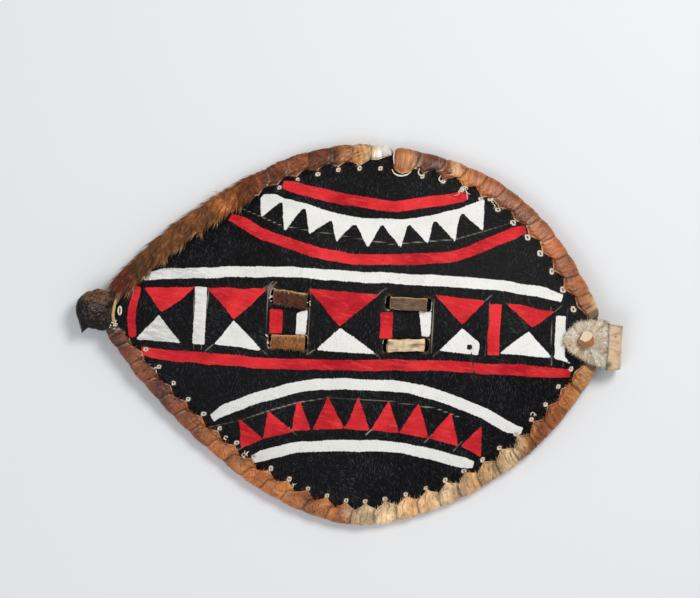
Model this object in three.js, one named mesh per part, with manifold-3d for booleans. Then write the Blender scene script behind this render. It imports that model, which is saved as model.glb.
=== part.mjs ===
// A pointed oval hide shield with a domed face, lying on its back. The hair-on hide panel has a whipped
// hide edge, a wooden stick along its back tied on by two hide thongs, a fur cap lashed over one tip and
// a pale hide patch pegged over the other. Millimetres: +X along the shield, +Z out of the painted face.
import * as THREE from "three";
import { mergeVertices } from "three/addons/utils/BufferGeometryUtils.js";
import Module from "manifold-3d";

const wasm = await Module();
wasm.setup();

// ---- Driving dimensions ----

// The hide panel's edge, tip to tip: the upper side (+Y) and the lower side (-Y), each a smooth curve.
const LEFT_TIP = [-279, 3];
const RIGHT_TIP = [285, 0];
const UPPER_EDGE = [LEFT_TIP, [-215, 74], [-146, 130], [-72, 175], [10, 193], [88, 184], [161, 155], [219, 102], RIGHT_TIP];
const LOWER_EDGE = [LEFT_TIP, [-215, -74], [-146, -136], [-72, -185], [10, -210], [92, -193], [161, -155], [225, -95], RIGHT_TIP];

const HIDE_THICKNESS = 4;
const GAP = 0.3; // clearance between touching pieces
const CENTRE_X = 3; // the middle of the panel's length
const HALF_LENGTH = 282;
const SPINE_TOP = 58; // height of the panel's middle surface at the crown of the dome
const TIP_HEIGHT = 22.8; // and at both tips, where it passes over the stick
const SIDE_HEIGHT = 9; // and along the sides, which lie on the ground
const LEVEL_HALF_LENGTH = 110; // the sides are level this far from the middle, and rise towards the tips

// The edge whipping: a hide strip wound over the edge and through one hole for each turn.
const TURN_PITCH = 25;
const STEPS_PER_TURN = 2; // between two turns, and at each turn's hole
const ROLL_OUT = 7.5; // how far the roll stands out from the panel's edge
const ROLL_HALF_HEIGHT = 9;
const ROLL_SHOULDER = 7.5;
const LIP_VALLEY = 9.5; // reach of the strip over the panel between two turns
const LIP_PEAK = 18.5; // and where it gathers into a hole
const LIP_HALF_HEIGHT = 4.2;
const HOLE_INSET = 19;
const HOLE_LONG = 4.6;
const HOLE_SHORT = 4;

// The wooden stick, the ties that hold it, and what dresses the two tips.
const STICK = { fromX: -286, toX: 287, z: 13, endRadius: 7.5, gripRadius: 9, leftY: 3.3, rightY: 0 };
const TIES = [
  { name: "stick_tie_left", fromX: -85, toX: -48, upperY: 26.5, lowerY: -20.5, width: 15 },
  { name: "stick_tie_right", fromX: 42, toX: 82, upperY: 28, lowerY: -17, width: 14 },
];
const THONG_THICKNESS = 3;
const THONG_RISE = 3.5; // how far a thong stands off the face between its two holes
const TIE_HOLE = 8; // along the shield; across it the hole is as wide as the thong
const PEG = { x: 258, shank: 3.5, head: 9.5, headHeight: 15, bottomZ: 5.5 };
const CAP = { x: -276, y: 2, z: 21, halfX: 24, halfY: 22, halfZ: 17.5, locks: 11, lockDepth: 0.09 };
const CAP_POINT = { longitude: 3.45, reach: 0.28 }; // one lock stands out at the tip
const LASHING = { x: -256.5, radius: 1.7, halfWidth: 15, lowZ: 3.4, highZ: 34 };
const PATCH = { fromX: 234, foldX: 286, backX: 262, thickness: 3.2, lowZ: 3.6, columns: 12, rows: 6 };

const COLOURS = {
  black_hide: { color: 0x16140f, roughness: 0.75 },
  brown_hide: { color: 0x7a3a16, roughness: 0.7 },
  thong_hide: { color: 0x6b4a2c, roughness: 0.7 },
  dark_fur: { color: 0x2a1d14, roughness: 0.85 },
  pale_hide: { color: 0xb9ab92, roughness: 0.85 },
  sinew: { color: 0xc9a468, roughness: 0.6 },
  wood: { color: 0x9a6a3a, roughness: 0.6 },
};

// ---- Helpers ----

const smooth = (t) => {
  const c = Math.min(Math.max(t, 0), 1);
  return c * c * (3 - 2 * c);
};

// A smooth curve y(x) through points, with slopes taken from the neighbours.
function curveY(points, x) {
  const last = points.length - 2;
  const i = Math.min(Math.max(points.findIndex((p) => p[0] > x) - 1, 0), last);
  const k = x >= points[last][0] ? last : i;
  const slope = (j) => {
    const a = points[Math.max(j - 1, 0)];
    const b = points[Math.min(j + 1, points.length - 1)];
    return (b[1] - a[1]) / (b[0] - a[0]);
  };
  const [[x0, y0], [x1, y1]] = [points[k], points[k + 1]];
  const span = x1 - x0;
  const t = Math.min(Math.max((x - x0) / span, 0), 1);
  const keep = (1 + 2 * t) * (1 - t) ** 2;
  return (
    keep * y0 +
    t * (1 - t) ** 2 * span * slope(k) +
    (1 - keep) * y1 +
    t * t * (t - 1) * span * slope(k + 1)
  );
}

// Height of the panel's middle surface: an arch across the shield, between its side and its spine.
function sideHeight(x) {
  const away = (Math.abs(x - CENTRE_X) - LEVEL_HALF_LENGTH) / (HALF_LENGTH - LEVEL_HALF_LENGTH);
  return SIDE_HEIGHT + (TIP_HEIGHT - SIDE_HEIGHT) * Math.max(away, 0) ** 2;
}

function panelHeight(x, y) {
  const along = Math.min(Math.abs(x - CENTRE_X) / HALF_LENGTH, 1);
  const spine = TIP_HEIGHT + (SPINE_TOP - TIP_HEIGHT) * (1 - along ** 2);
  const middleY = curveY([LEFT_TIP, RIGHT_TIP], x);
  const edge = curveY(y > middleY ? UPPER_EDGE : LOWER_EDGE, x);
  const across = Math.min(Math.abs((y - middleY) / (edge - middleY || 1)), 1.15);
  return sideHeight(x) + (spine - sideHeight(x)) * (1 - across ** 2);
}

// Points at equal steps of arc length along an edge, from one x to another, with the outward normal.
function walkEdge(edge, fromX, toX, pitch, stepsPerPitch) {
  const fine = 600;
  const xs = Array.from({ length: fine + 1 }, (_, i) => fromX + ((toX - fromX) * i) / fine);
  const points = xs.map((x) => [x, curveY(edge, x)]);
  const run = [0];
  for (let i = 1; i <= fine; i++)
    run.push(run[i - 1] + Math.hypot(points[i][0] - points[i - 1][0], points[i][1] - points[i - 1][1]));
  const turns = Math.round(run[fine] / pitch);
  const count = turns * stepsPerPitch;
  const outSign = edge === UPPER_EDGE ? 1 : -1;
  return Array.from({ length: count + 1 }, (_, s) => {
    const target = (run[fine] * s) / count;
    const i = Math.min(Math.max(run.findIndex((r) => r >= target - 1e-6), 1), fine);
    const share = (target - run[i - 1]) / (run[i] - run[i - 1]);
    const x = points[i - 1][0] + share * (points[i][0] - points[i - 1][0]);
    const tilt = (curveY(edge, x + 0.5) - curveY(edge, x - 0.5)) / 1;
    const length = Math.hypot(1, tilt);
    return { x, y: curveY(edge, x), nx: (-tilt / length) * outSign, ny: (1 / length) * outSign };
  });
}

function solidFrom(geometry) {
  const bare = geometry.clone();
  bare.deleteAttribute("normal");
  bare.deleteAttribute("uv");
  const merged = mergeVertices(bare, 1e-3);
  return new wasm.Manifold(
    new wasm.Mesh({
      numProp: 3,
      vertProperties: merged.attributes.position.array,
      triVerts: new Uint32Array(merged.index.array),
    }),
  );
}

function geometryFrom(solid) {
  const mesh = solid.getMesh();
  const geometry = new THREE.BufferGeometry();
  geometry.setAttribute("position", new THREE.BufferAttribute(mesh.vertProperties, 3));
  geometry.setIndex(new THREE.BufferAttribute(mesh.triVerts, 1));
  return geometry;
}

// A mesh from points and faces, with its faces turned outwards.
function indexedGeometry(points, faces) {
  const corners = faces.map((face) => face.map((i) => new THREE.Vector3(...points[i])));
  const volume = corners.reduce((sum, [a, b, c]) => sum + a.dot(b.clone().cross(c)), 0);
  const turned = volume < 0 ? faces.map(([a, b, c]) => [a, c, b]) : faces;
  const geometry = new THREE.BufferGeometry();
  geometry.setAttribute("position", new THREE.Float32BufferAttribute(points.flat(), 3));
  geometry.setIndex(turned.flat());
  return geometry;
}

// A closed solid through rings of equal length, with a fan over each end.
function loft(rings) {
  const n = rings[0].length;
  const points = rings.flat();
  const faces = [];
  for (let r = 0; r < rings.length - 1; r++)
    for (let i = 0; i < n; i++) {
      const [a, b] = [r * n + i, r * n + ((i + 1) % n)];
      faces.push([a, b, b + n], [a, b + n, a + n]);
    }
  for (const [ring, flip] of [[rings[0], true], [rings[rings.length - 1], false]]) {
    const base = flip ? 0 : (rings.length - 1) * n;
    const centre = points.length;
    points.push([0, 1, 2].map((k) => ring.reduce((sum, p) => sum + p[k], 0) / n));
    for (let i = 0; i < n; i++) {
      const [a, b] = [base + i, base + ((i + 1) % n)];
      faces.push(flip ? [centre, b, a] : [centre, a, b]);
    }
  }
  return indexedGeometry(points, faces);
}

// A closed band through rings of equal length, the last joined to the first.
function closedLoft(rings) {
  const n = rings[0].length;
  const faces = [];
  for (let r = 0; r < rings.length; r++)
    for (let i = 0; i < n; i++) {
      const next = ((r + 1) % rings.length) * n;
      const [a, b] = [r * n + i, r * n + ((i + 1) % n)];
      const [c, d] = [next + ((i + 1) % n), next + i];
      faces.push([a, b, c], [a, c, d]);
    }
  return indexedGeometry(rings.flat(), faces);
}

// A closed sheet of one thickness about a grid of middle points, place(u, v) with u and v from 0 to 1.
function sheet(place, columns, rows, thickness) {
  const at = (u, v) => new THREE.Vector3(...place(u, v));
  const small = 1e-3;
  const sides = [1, -1].map((side) => {
    const points = [];
    for (let i = 0; i <= columns; i++)
      for (let j = 0; j <= rows; j++) {
        const [u, v] = [i / columns, j / rows];
        const alongU = at(Math.min(u + small, 1), v).sub(at(Math.max(u - small, 0), v));
        const alongV = at(u, Math.min(v + small, 1)).sub(at(u, Math.max(v - small, 0)));
        const normal = alongU.cross(alongV).normalize();
        points.push(at(u, v).addScaledVector(normal, (side * thickness) / 2).toArray());
      }
    return points;
  });
  const points = sides.flat();
  const half = sides[0].length;
  const id = (i, j) => i * (rows + 1) + j;
  const faces = [];
  for (let i = 0; i < columns; i++)
    for (let j = 0; j < rows; j++) {
      const [a, b, c, d] = [id(i, j), id(i + 1, j), id(i + 1, j + 1), id(i, j + 1)];
      faces.push([a, b, c], [a, c, d]);
      faces.push([half + a, half + c, half + b], [half + a, half + d, half + c]);
    }
  const wall = (a, b) => faces.push([a, half + a, half + b], [a, half + b, b]);
  for (let i = 0; i < columns; i++) {
    wall(id(i, 0), id(i + 1, 0));
    wall(id(i + 1, rows), id(i, rows));
  }
  for (let j = 0; j < rows; j++) {
    wall(id(0, j + 1), id(0, j));
    wall(id(columns, j), id(columns, j + 1));
  }
  return indexedGeometry(points, faces);
}

function box(x0, x1, y0, y1, z0, z1) {
  const geometry = new THREE.BoxGeometry(x1 - x0, y1 - y0, z1 - z0);
  return solidFrom(geometry.translate((x0 + x1) / 2, (y0 + y1) / 2, (z0 + z1) / 2));
}

// ---- The edge strips and their holes ----

const STRIPS = [
  { name: "binding_upper_left", edge: UPPER_EDGE, fromX: -257, toX: 36 },
  { name: "binding_upper_right", edge: UPPER_EDGE, fromX: 37.5, toX: 265 },
  { name: "binding_lower", edge: LOWER_EDGE, fromX: -259, toX: 266 },
];
for (const strip of STRIPS)
  strip.path = walkEdge(strip.edge, strip.fromX, strip.toX, TURN_PITCH, STEPS_PER_TURN);

const HOLES = STRIPS.flatMap((strip) =>
  strip.path
    .filter((_, s) => s % STEPS_PER_TURN === STEPS_PER_TURN / 2)
    .map((p) => ({ ...p, x: p.x - p.nx * HOLE_INSET, y: p.y - p.ny * HOLE_INSET })),
);

function holeTool(hole, shrink) {
  const geometry = new THREE.CylinderGeometry(1, 1, 60, 5);
  geometry.rotateX(Math.PI / 2);
  geometry.scale(HOLE_LONG - shrink, HOLE_SHORT - shrink, 1);
  geometry.rotateZ(Math.atan2(hole.ny, hole.nx) - Math.PI / 2);
  geometry.translate(hole.x, hole.y, panelHeight(hole.x, hole.y));
  return solidFrom(geometry);
}

// ---- The hide panel ----

// The domed panel, grown on every side by the clearance that its neighbours keep from it.
function panelBody(grow) {
  const perimeter = [
    ...walkEdge(UPPER_EDGE, LEFT_TIP[0], RIGHT_TIP[0], 24, 1).slice(1, -1).reverse(),
    { x: LEFT_TIP[0], y: LEFT_TIP[1], nx: -1, ny: 0 },
    ...walkEdge(LOWER_EDGE, LEFT_TIP[0], RIGHT_TIP[0], 24, 1).slice(1, -1),
    { x: RIGHT_TIP[0], y: RIGHT_TIP[1], nx: 1, ny: 0 },
  ];
  const shares = [0.24, 0.46, 0.66, 0.84, 1];
  const half = HIDE_THICKNESS / 2 + grow;
  const points = [];
  const faces = [];
  const n = perimeter.length;
  const side = (sign) => {
    const start = points.length;
    points.push([CENTRE_X, 0, panelHeight(CENTRE_X, 0) + sign * half]);
    for (const share of shares)
      for (const p of perimeter) {
        const outward = share === 1 ? grow : 0;
        const x = CENTRE_X + share * (p.x - CENTRE_X);
        const y = share * p.y;
        points.push([x + outward * p.nx, y + outward * p.ny, panelHeight(x, y) + sign * half]);
      }
    const id = (ring, i) => start + 1 + ring * n + (i % n);
    for (let i = 0; i < n; i++) {
      const triangles = [[start, id(0, i), id(0, i + 1)]];
      for (let ring = 0; ring < shares.length - 1; ring++) {
        const [a, b, c, d] = [id(ring, i), id(ring + 1, i), id(ring + 1, i + 1), id(ring, i + 1)];
        triangles.push([a, b, c], [a, c, d]);
      }
      faces.push(...(sign > 0 ? triangles : triangles.map(([a, b, c]) => [a, c, b])));
    }
    return (i) => id(shares.length - 1, i);
  };
  const top = side(1);
  const bottom = side(-1);
  for (let i = 0; i < n; i++)
    faces.push([top(i), bottom(i), bottom(i + 1)], [top(i), bottom(i + 1), top(i + 1)]);
  return solidFrom(indexedGeometry(points, faces));
}

function makePanel(grow) {
  let panel = panelBody(grow);
  for (const hole of HOLES) panel = panel.subtract(holeTool(hole, grow));
  for (const tie of TIES)
    for (const y of [tie.upperY, tie.lowerY]) {
      const halfY = tie.width / 2 + 0.9;
      const inner = THONG_THICKNESS + 0.9;
      for (const x of [tie.fromX - TIE_HOLE + inner, tie.toX - inner])
        panel = panel.subtract(box(x, x + TIE_HOLE, y - halfY, y + halfY, 30, 80));
    }
  return panel;
}

// ---- The whipped edge ----

// One section of the roll: its outer half stands on the panel's edge, and its lips follow the panel.
function bindingSection(p, phase, grow) {
  const peak = 1 - Math.abs(2 * phase - 1); // 1 where the strip enters its hole
  const reach = LIP_VALLEY + (LIP_PEAK - LIP_VALLEY) * peak;
  const swell = 0.9 + 0.1 * Math.sin(Math.PI * phase);
  const z = sideHeight(p.x);
  const inwardPoint = (inset, offset) => {
    const [x, y] = [p.x - p.nx * inset, p.y - p.ny * inset];
    return [x, y, panelHeight(x, y) + offset];
  };
  const outwardPoint = (out, offset) => [p.x + p.nx * out, p.y + p.ny * out, z + offset];
  return [
    outwardPoint(ROLL_OUT * swell + grow, 0),
    outwardPoint(ROLL_OUT * 0.7 * swell + grow, ROLL_HALF_HEIGHT * 0.7 * swell + grow),
    outwardPoint(0, ROLL_HALF_HEIGHT * swell + grow),
    inwardPoint(ROLL_SHOULDER, ROLL_HALF_HEIGHT * 0.8 * swell + grow),
    inwardPoint(reach + grow, LIP_HALF_HEIGHT + grow),
    inwardPoint(reach + grow, -LIP_HALF_HEIGHT - grow),
    inwardPoint(ROLL_SHOULDER, -ROLL_HALF_HEIGHT * 0.8 * swell - grow),
    outwardPoint(-2.5, -ROLL_HALF_HEIGHT - grow),
    outwardPoint(3, -ROLL_HALF_HEIGHT - grow),
  ];
}

function bindingRoll(strip, grow) {
  const rings = strip.path.map((p, s) =>
    bindingSection(p, (s % STEPS_PER_TURN) / STEPS_PER_TURN, grow),
  );
  return solidFrom(loft(rings));
}

// ---- The stick, its straps, and the two tips ----

function stickShape(grow) {
  const length = STICK.toX - STICK.fromX;
  const stations = [0, 0.03, 0.3, 0.7, 0.97, 1];
  const profile = stations.map((t) => {
    const radius = STICK.endRadius + (STICK.gripRadius - STICK.endRadius) * smooth(1 - Math.abs(t - 0.5) / 0.3);
    const rounding = t === 0 || t === 1 ? 2 : 0;
    return new THREE.Vector2(radius - rounding + grow, t * length);
  });
  profile[0].y -= grow;
  profile[profile.length - 1].y += grow;
  profile.unshift(new THREE.Vector2(0, profile[0].y));
  profile.push(new THREE.Vector2(0, profile[profile.length - 1].y));
  const geometry = new THREE.LatheGeometry(profile, 12);
  return geometry.rotateZ(-Math.PI / 2); // the lathe's axis now points along +X, from the origin
}

function placeStick(object) {
  object.position.set(STICK.fromX, STICK.leftY, STICK.z);
  object.rotation.z = Math.atan2(STICK.rightY - STICK.leftY, STICK.toX - STICK.fromX);
  object.updateMatrix();
  return object;
}

const stickY = (x) =>
  STICK.leftY + ((STICK.rightY - STICK.leftY) * (x - STICK.fromX)) / (STICK.toX - STICK.fromX);

function stickBlank(grow) {
  const holder = placeStick(new THREE.Object3D());
  return solidFrom(stickShape(grow).applyMatrix4(holder.matrix));
}

// Stations of one half of a tie: over the face along the shield, down through a hole with a quarter
// turn of the thong, and round under the stick. Each station has a point, and the thong's width and
// thickness directions.
function tieStations(tie) {
  const half = THONG_THICKNESS / 2;
  const inX = [tie.fromX + half, tie.toX - half];
  const faceZ = (x, y) => panelHeight(x, y) + HIDE_THICKNESS / 2 + half + 0.8;
  const stations = [];
  const put = (x, y, z, widthAngle, thickness) => {
    const width = new THREE.Vector3(Math.sin(widthAngle), Math.cos(widthAngle), 0);
    stations.push({ at: new THREE.Vector3(x, y, z), width, thickness });
  };
  const bridge = (fromX, toX, y) => {
    for (const t of [0, 0.12, 0.5, 0.88, 1]) {
      const x = fromX + (toX - fromX) * t;
      const rise = THONG_RISE * Math.sin(Math.PI * Math.min(Math.max(t, 0.04), 0.96)) ** 0.5;
      const lean = t === 0 || t === 1 ? Math.sign(t - 0.5) * Math.sign(toX - fromX) : 0;
      put(x, y, faceZ(x, y) + rise, 0, new THREE.Vector3(lean, 0, 1).normalize());
    }
  };
  // From a hole, down beside the stick, under it, and up to the hole on its other side.
  const sling = (x, fromY, toY, leanSign) => {
    const radius = STICK.gripRadius + GAP + half;
    const centreY = stickY(x);
    const side = Math.sign(fromY - toY);
    const quarter = Math.PI / 2;
    const leg = (y, sideSign, t) => {
      const top = panelHeight(x, y) - HIDE_THICKNESS / 2 - 2;
      const [endY, endZ] = [centreY + sideSign * radius, STICK.z];
      const turn = quarter * smooth((t - 0.1) / 0.8);
      const [py, pz] = [y + (endY - y) * t ** 1.3, top + (endZ - top) * t];
      const facing = new THREE.Vector3(leanSign * Math.cos(turn), sideSign * Math.sin(turn), 0);
      put(x, py, pz, leanSign * sideSign * -turn, facing);
    };
    const legTimes = [0, 0.3, 0.55, 0.8, 1];
    for (const t of legTimes) leg(fromY, side, t);
    for (let i = 1; i < 6; i++) {
      const angle = (Math.PI * i) / 6;
      const facing = new THREE.Vector3(0, side * Math.cos(angle), -Math.sin(angle));
      put(x, centreY + facing.y * radius, STICK.z + facing.z * radius, leanSign * side * -quarter, facing);
    }
    for (const t of [...legTimes].reverse()) leg(toY, -side, t);
  };
  bridge(inX[0], inX[1], tie.upperY);
  sling(inX[1], tie.upperY, tie.lowerY, 1);
  bridge(inX[1], inX[0], tie.lowerY);
  sling(inX[0], tie.lowerY, tie.upperY, -1);
  return stations;
}

// The thong is one closed band: its section is swept along the stations and back to the first.
function makeTie(tie) {
  const stations = tieStations(tie);
  const [halfWidth, halfThick] = [tie.width / 2, THONG_THICKNESS / 2];
  const corners = [[-1, -1], [1, -1], [1, 1], [-1, 1]];
  let held = stations[0].width.clone();
  const rings = stations.map(({ at, width, thickness }) => {
    const same = held.dot(width) >= 0 ? 1 : -1;
    held = width.clone().multiplyScalar(same);
    return corners.map(([w, t]) =>
      at.clone().addScaledVector(held, w * halfWidth).addScaledVector(thickness, t * halfThick).toArray(),
    );
  });
  return closedLoft(rings);
}

function makePeg() {
  const neck = panelHeight(PEG.x, 0) + HIDE_THICKNESS / 2 + PATCH.thickness + 1.5;
  const profile = [
    [0, PEG.bottomZ],
    [PEG.shank, PEG.bottomZ],
    [PEG.shank, neck],
    [PEG.head * 0.86, neck + 2],
    [PEG.head, neck + PEG.headHeight * 0.4],
    [PEG.head * 0.72, neck + PEG.headHeight * 0.8],
    [0, neck + PEG.headHeight],
  ].map(([r, z]) => new THREE.Vector2(r, z));
  const geometry = new THREE.LatheGeometry(profile, 9);
  return geometry.rotateX(Math.PI / 2); // the lathe's axis now points along +Z
}

const pegTool = (grow) => {
  const geometry = new THREE.CylinderGeometry(PEG.shank + grow, PEG.shank + grow, 60, 10);
  return solidFrom(geometry.rotateX(Math.PI / 2).translate(PEG.x, stickY(PEG.x), 30));
};

// The lashing that holds the cap: a ring over the cap's neck, down through the panel, under the stick.
function makeLashing(grow) {
  const { halfWidth: w, lowZ, highZ } = LASHING;
  const middle = (lowZ + highZ) / 2;
  const halfHeight = (highZ - lowZ) / 2;
  const points = Array.from({ length: 16 }, (_, i) => {
    const angle = (2 * Math.PI * i) / 16;
    const square = (v) => Math.sign(v) * Math.abs(v) ** 0.7;
    return new THREE.Vector3(0, w * square(Math.cos(angle)), middle + halfHeight * square(Math.sin(angle)));
  });
  const path = new THREE.CatmullRomCurve3(points, true);
  return new THREE.TubeGeometry(path, 26, LASHING.radius + grow, 6, true);
}

const lashingPlace = [LASHING.x, stickY(LASHING.x), 0];

// The fur cap: a ball whose poles lie along the shield, with locks running from its neck to the tip.
function makeCap(tools) {
  const around = CAP.locks * 2;
  const along = 9;
  const point = (i, j) => {
    const latitude = (Math.PI * i) / along;
    const longitude = (2 * Math.PI * j) / around;
    const lock = 1 - CAP.lockDepth * (j % 2) * Math.sin(latitude);
    const nearPoint = Math.max(1 - Math.abs(longitude - CAP_POINT.longitude) / 0.5, 0);
    const reach = lock + CAP_POINT.reach * nearPoint * smooth(1 - Math.abs(latitude - 2.3) / 0.7);
    return [
      CAP.x + CAP.halfX * Math.cos(latitude) * (0.85 + 0.15 * reach),
      CAP.y + CAP.halfY * Math.sin(latitude) * Math.cos(longitude) * reach,
      CAP.z + CAP.halfZ * Math.sin(latitude) * Math.sin(longitude) * lock,
    ];
  };
  const rings = Array.from({ length: along - 1 }, (_, i) =>
    Array.from({ length: around }, (_, j) => point(i + 1, j)),
  );
  let cap = solidFrom(loft(rings));
  for (const tool of tools) cap = cap.subtract(tool);
  return cap.decompose().sort((a, b) => b.volume() - a.volume())[0];
}

// The patch: a tongue on the face that widens towards the tip, folds over it and comes back below.
function patchPoint(u, v) {
  const faceLength = PATCH.foldX - PATCH.fromX;
  const backLength = PATCH.foldX - PATCH.backX;
  const foldTop = panelHeight(PATCH.foldX - 3, 0) + HIDE_THICKNESS / 2 + GAP + PATCH.thickness / 2;
  const foldRadius = (foldTop - PATCH.lowZ) / 2;
  const total = faceLength + foldRadius * Math.PI * 0.8 + backLength;
  const run = u * total;
  const widen = smooth(run / (faceLength * 0.75));
  const narrow = smooth((run - faceLength) / (total - faceLength));
  const halfWidth = 11 + 15 * widen - 7 * narrow;
  const y = -2 * widen + (2 * v - 1) * halfWidth;
  if (run <= faceLength) {
    const x = PATCH.fromX + run;
    const rest = panelHeight(Math.min(x, PATCH.foldX - 3), y * 0.9) + HIDE_THICKNESS / 2 + GAP;
    return [x, y, rest + PATCH.thickness / 2 + 0.4];
  }
  const turned = Math.min((run - faceLength) / (total - faceLength - backLength), 1);
  const angle = Math.PI * turned;
  const x = PATCH.foldX + foldRadius * 0.95 * Math.sin(angle);
  const top = panelHeight(PATCH.foldX - 3, y * 0.9) + HIDE_THICKNESS / 2 + GAP + PATCH.thickness / 2 + 0.4;
  const z = PATCH.lowZ + (top - PATCH.lowZ) * (0.5 + 0.5 * Math.cos(angle));
  const back = Math.max(run - (total - backLength), 0);
  return [x - back, y, z];
}

function makePatch(tools) {
  let patch = solidFrom(sheet(patchPoint, PATCH.columns, PATCH.rows, PATCH.thickness));
  for (const tool of tools) patch = patch.subtract(tool);
  return patch.decompose().sort((a, b) => b.volume() - a.volume())[0];
}

// ---- The shield ----

const shield = new THREE.Group();

function add(name, finish, geometry) {
  const material = new THREE.MeshStandardMaterial({ ...COLOURS[finish], metalness: 0 });
  const mesh = new THREE.Mesh(geometry, material);
  mesh.name = name;
  shield.add(mesh);
  return mesh;
}

const lashingTool = solidFrom(makeLashing(GAP).translate(...lashingPlace));
const grownPanel = makePanel(GAP);
const grownRolls = STRIPS.map((strip) => bindingRoll(strip, GAP));

const panel = makePanel(0).subtract(lashingTool).subtract(pegTool(GAP));
add("hide_panel", "black_hide", geometryFrom(panel));
for (const strip of STRIPS) {
  const roll = bindingRoll(strip, 0).subtract(grownPanel).subtract(lashingTool);
  add(strip.name, "brown_hide", geometryFrom(roll));
}
for (const tie of TIES) add(tie.name, "thong_hide", makeTie(tie));

const stick = stickBlank(0).subtract(pegTool(GAP));
add("back_stick", "wood", geometryFrom(stick));
add("tip_peg", "wood", makePeg()).position.set(PEG.x, stickY(PEG.x), 0);
add("cap_lashing", "sinew", makeLashing(0)).position.set(...lashingPlace);
add("tip_cap", "dark_fur", geometryFrom(makeCap([grownPanel, stickBlank(GAP), lashingTool, ...grownRolls])));
add("tip_patch", "pale_hide", geometryFrom(makePatch([grownPanel, stickBlank(GAP), pegTool(GAP), ...grownRolls])));

// The origin is on the ground, under the middle of the shield.
const bounds = new THREE.Box3().setFromObject(shield);
const middle = bounds.getCenter(new THREE.Vector3());
shield.position.set(-middle.x, -middle.y, -bounds.min.z);

const part = new THREE.Group();
part.add(shield);

export default part;
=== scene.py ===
"""The looks of a hide shield that lies on its back. Lengths are millimetres in the shield's own drawing
frame, whose origin is near its middle; in_row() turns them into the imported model's metres."""

import math

import bpy
import numpy as np
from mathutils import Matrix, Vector


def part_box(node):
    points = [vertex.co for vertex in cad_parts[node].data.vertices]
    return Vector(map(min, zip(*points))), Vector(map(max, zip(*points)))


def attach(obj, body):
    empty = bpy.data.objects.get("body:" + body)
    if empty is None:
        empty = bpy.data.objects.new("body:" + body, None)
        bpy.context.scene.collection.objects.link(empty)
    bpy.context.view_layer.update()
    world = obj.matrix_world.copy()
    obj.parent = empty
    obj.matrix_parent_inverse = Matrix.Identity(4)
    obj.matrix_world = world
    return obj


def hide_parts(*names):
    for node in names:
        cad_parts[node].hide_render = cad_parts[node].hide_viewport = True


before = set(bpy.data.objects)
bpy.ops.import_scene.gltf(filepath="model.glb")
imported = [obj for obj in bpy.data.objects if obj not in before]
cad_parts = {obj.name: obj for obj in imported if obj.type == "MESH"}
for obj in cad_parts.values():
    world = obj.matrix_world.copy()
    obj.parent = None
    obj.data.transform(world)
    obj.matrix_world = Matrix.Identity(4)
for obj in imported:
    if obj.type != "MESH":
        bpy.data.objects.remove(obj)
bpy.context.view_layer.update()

# ---- The shield's own sizes, as in the part's source ----

LEFT_TIP = (-279, 3)
RIGHT_TIP = (285, 0)
UPPER_EDGE = [
    LEFT_TIP, (-215, 74), (-146, 130), (-72, 175), (10, 193), (88, 184), (161, 155), (219, 102),
    RIGHT_TIP,
]
LOWER_EDGE = [
    LEFT_TIP, (-215, -74), (-146, -136), (-72, -185), (10, -210), (92, -193), (161, -155), (225, -95),
    RIGHT_TIP,
]
HIDE = 4.0
CENTRE_X, HALF_LENGTH = 3, 282
SPINE_TOP, TIP_HEIGHT, SIDE_HEIGHT, LEVEL_HALF_LENGTH = 58, 22.8, 9, 110
TURN_PITCH = 25
ROLL_OUT, ROLL_HALF_HEIGHT, ROLL_SHOULDER = 7.5, 9, 7.5
LIP_HALF_HEIGHT = 4.2
HOLE_INSET = 19
STICK = {
    "from_x": -286, "to_x": 287, "z": 13, "end_radius": 7.5, "grip_radius": 9, "left_y": 3.3, "right_y": 0
}
TIES = {
    "stick_tie_left": {"from_x": -85, "to_x": -48, "upper_y": 26.5, "lower_y": -20.5, "width": 15},
    "stick_tie_right": {"from_x": 42, "to_x": 82, "upper_y": 28, "lower_y": -17, "width": 14},
}
THONG, THONG_RISE = 3, 3.5
# How far each tie's holes run on beyond its thong, and the slopes of its two bridges in degrees.
TIE_SPARE = {"stick_tie_left": 3, "stick_tie_right": 5}
TIE_TILTS = {"stick_tie_left": (-5, 0), "stick_tie_right": (0, 4)}
PEG = {"x": 258, "shank": 3.5, "head": 9.5, "height": 15, "bottom_z": 5.5}
CAP = {"x": -276, "y": 2, "z": 21, "half": (24, 22, 17.5)}
# Middles of the cord's small loop and of its knotted ends.
LOOP = (-252, 2.5)
KNOT = (-257.5, -18.5)
LASHING = {"x": -256.5, "radius": 1.7, "half_width": 15, "low_z": 3.4, "high_z": 34}
PATCH = {"from_x": 234, "fold_x": 286, "back_x": 262, "thickness": 3.2, "low_z": 3.6}
# The edge that each strip covers, and where along X it starts and ends.
STRIPS = {
    "binding_upper_left": (UPPER_EDGE, -257, 36),
    "binding_upper_right": (UPPER_EDGE, 37.5, 265),
    "binding_lower": (LOWER_EDGE, -259, 266),
}

PANEL_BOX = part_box("hide_panel")
STICK_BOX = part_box("back_stick")
SHIFT = np.array(
    [
        PANEL_BOX[0].x * 1000 - LEFT_TIP[0],
        (STICK_BOX[0].y + STICK_BOX[1].y) * 500 - (STICK["left_y"] + STICK["right_y"]) / 2,
        0.0,
    ]
)


def in_row(points):
    """Points of the drawing frame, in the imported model's metres."""
    return (np.asarray(points, float) + SHIFT) / 1000


# ---- Curves and heights ----


def smooth(t):
    """Rises from 0 to 1 as t does, level at both ends."""
    t = np.clip(t, 0, 1)
    return t * t * (3 - 2 * t)


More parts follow.
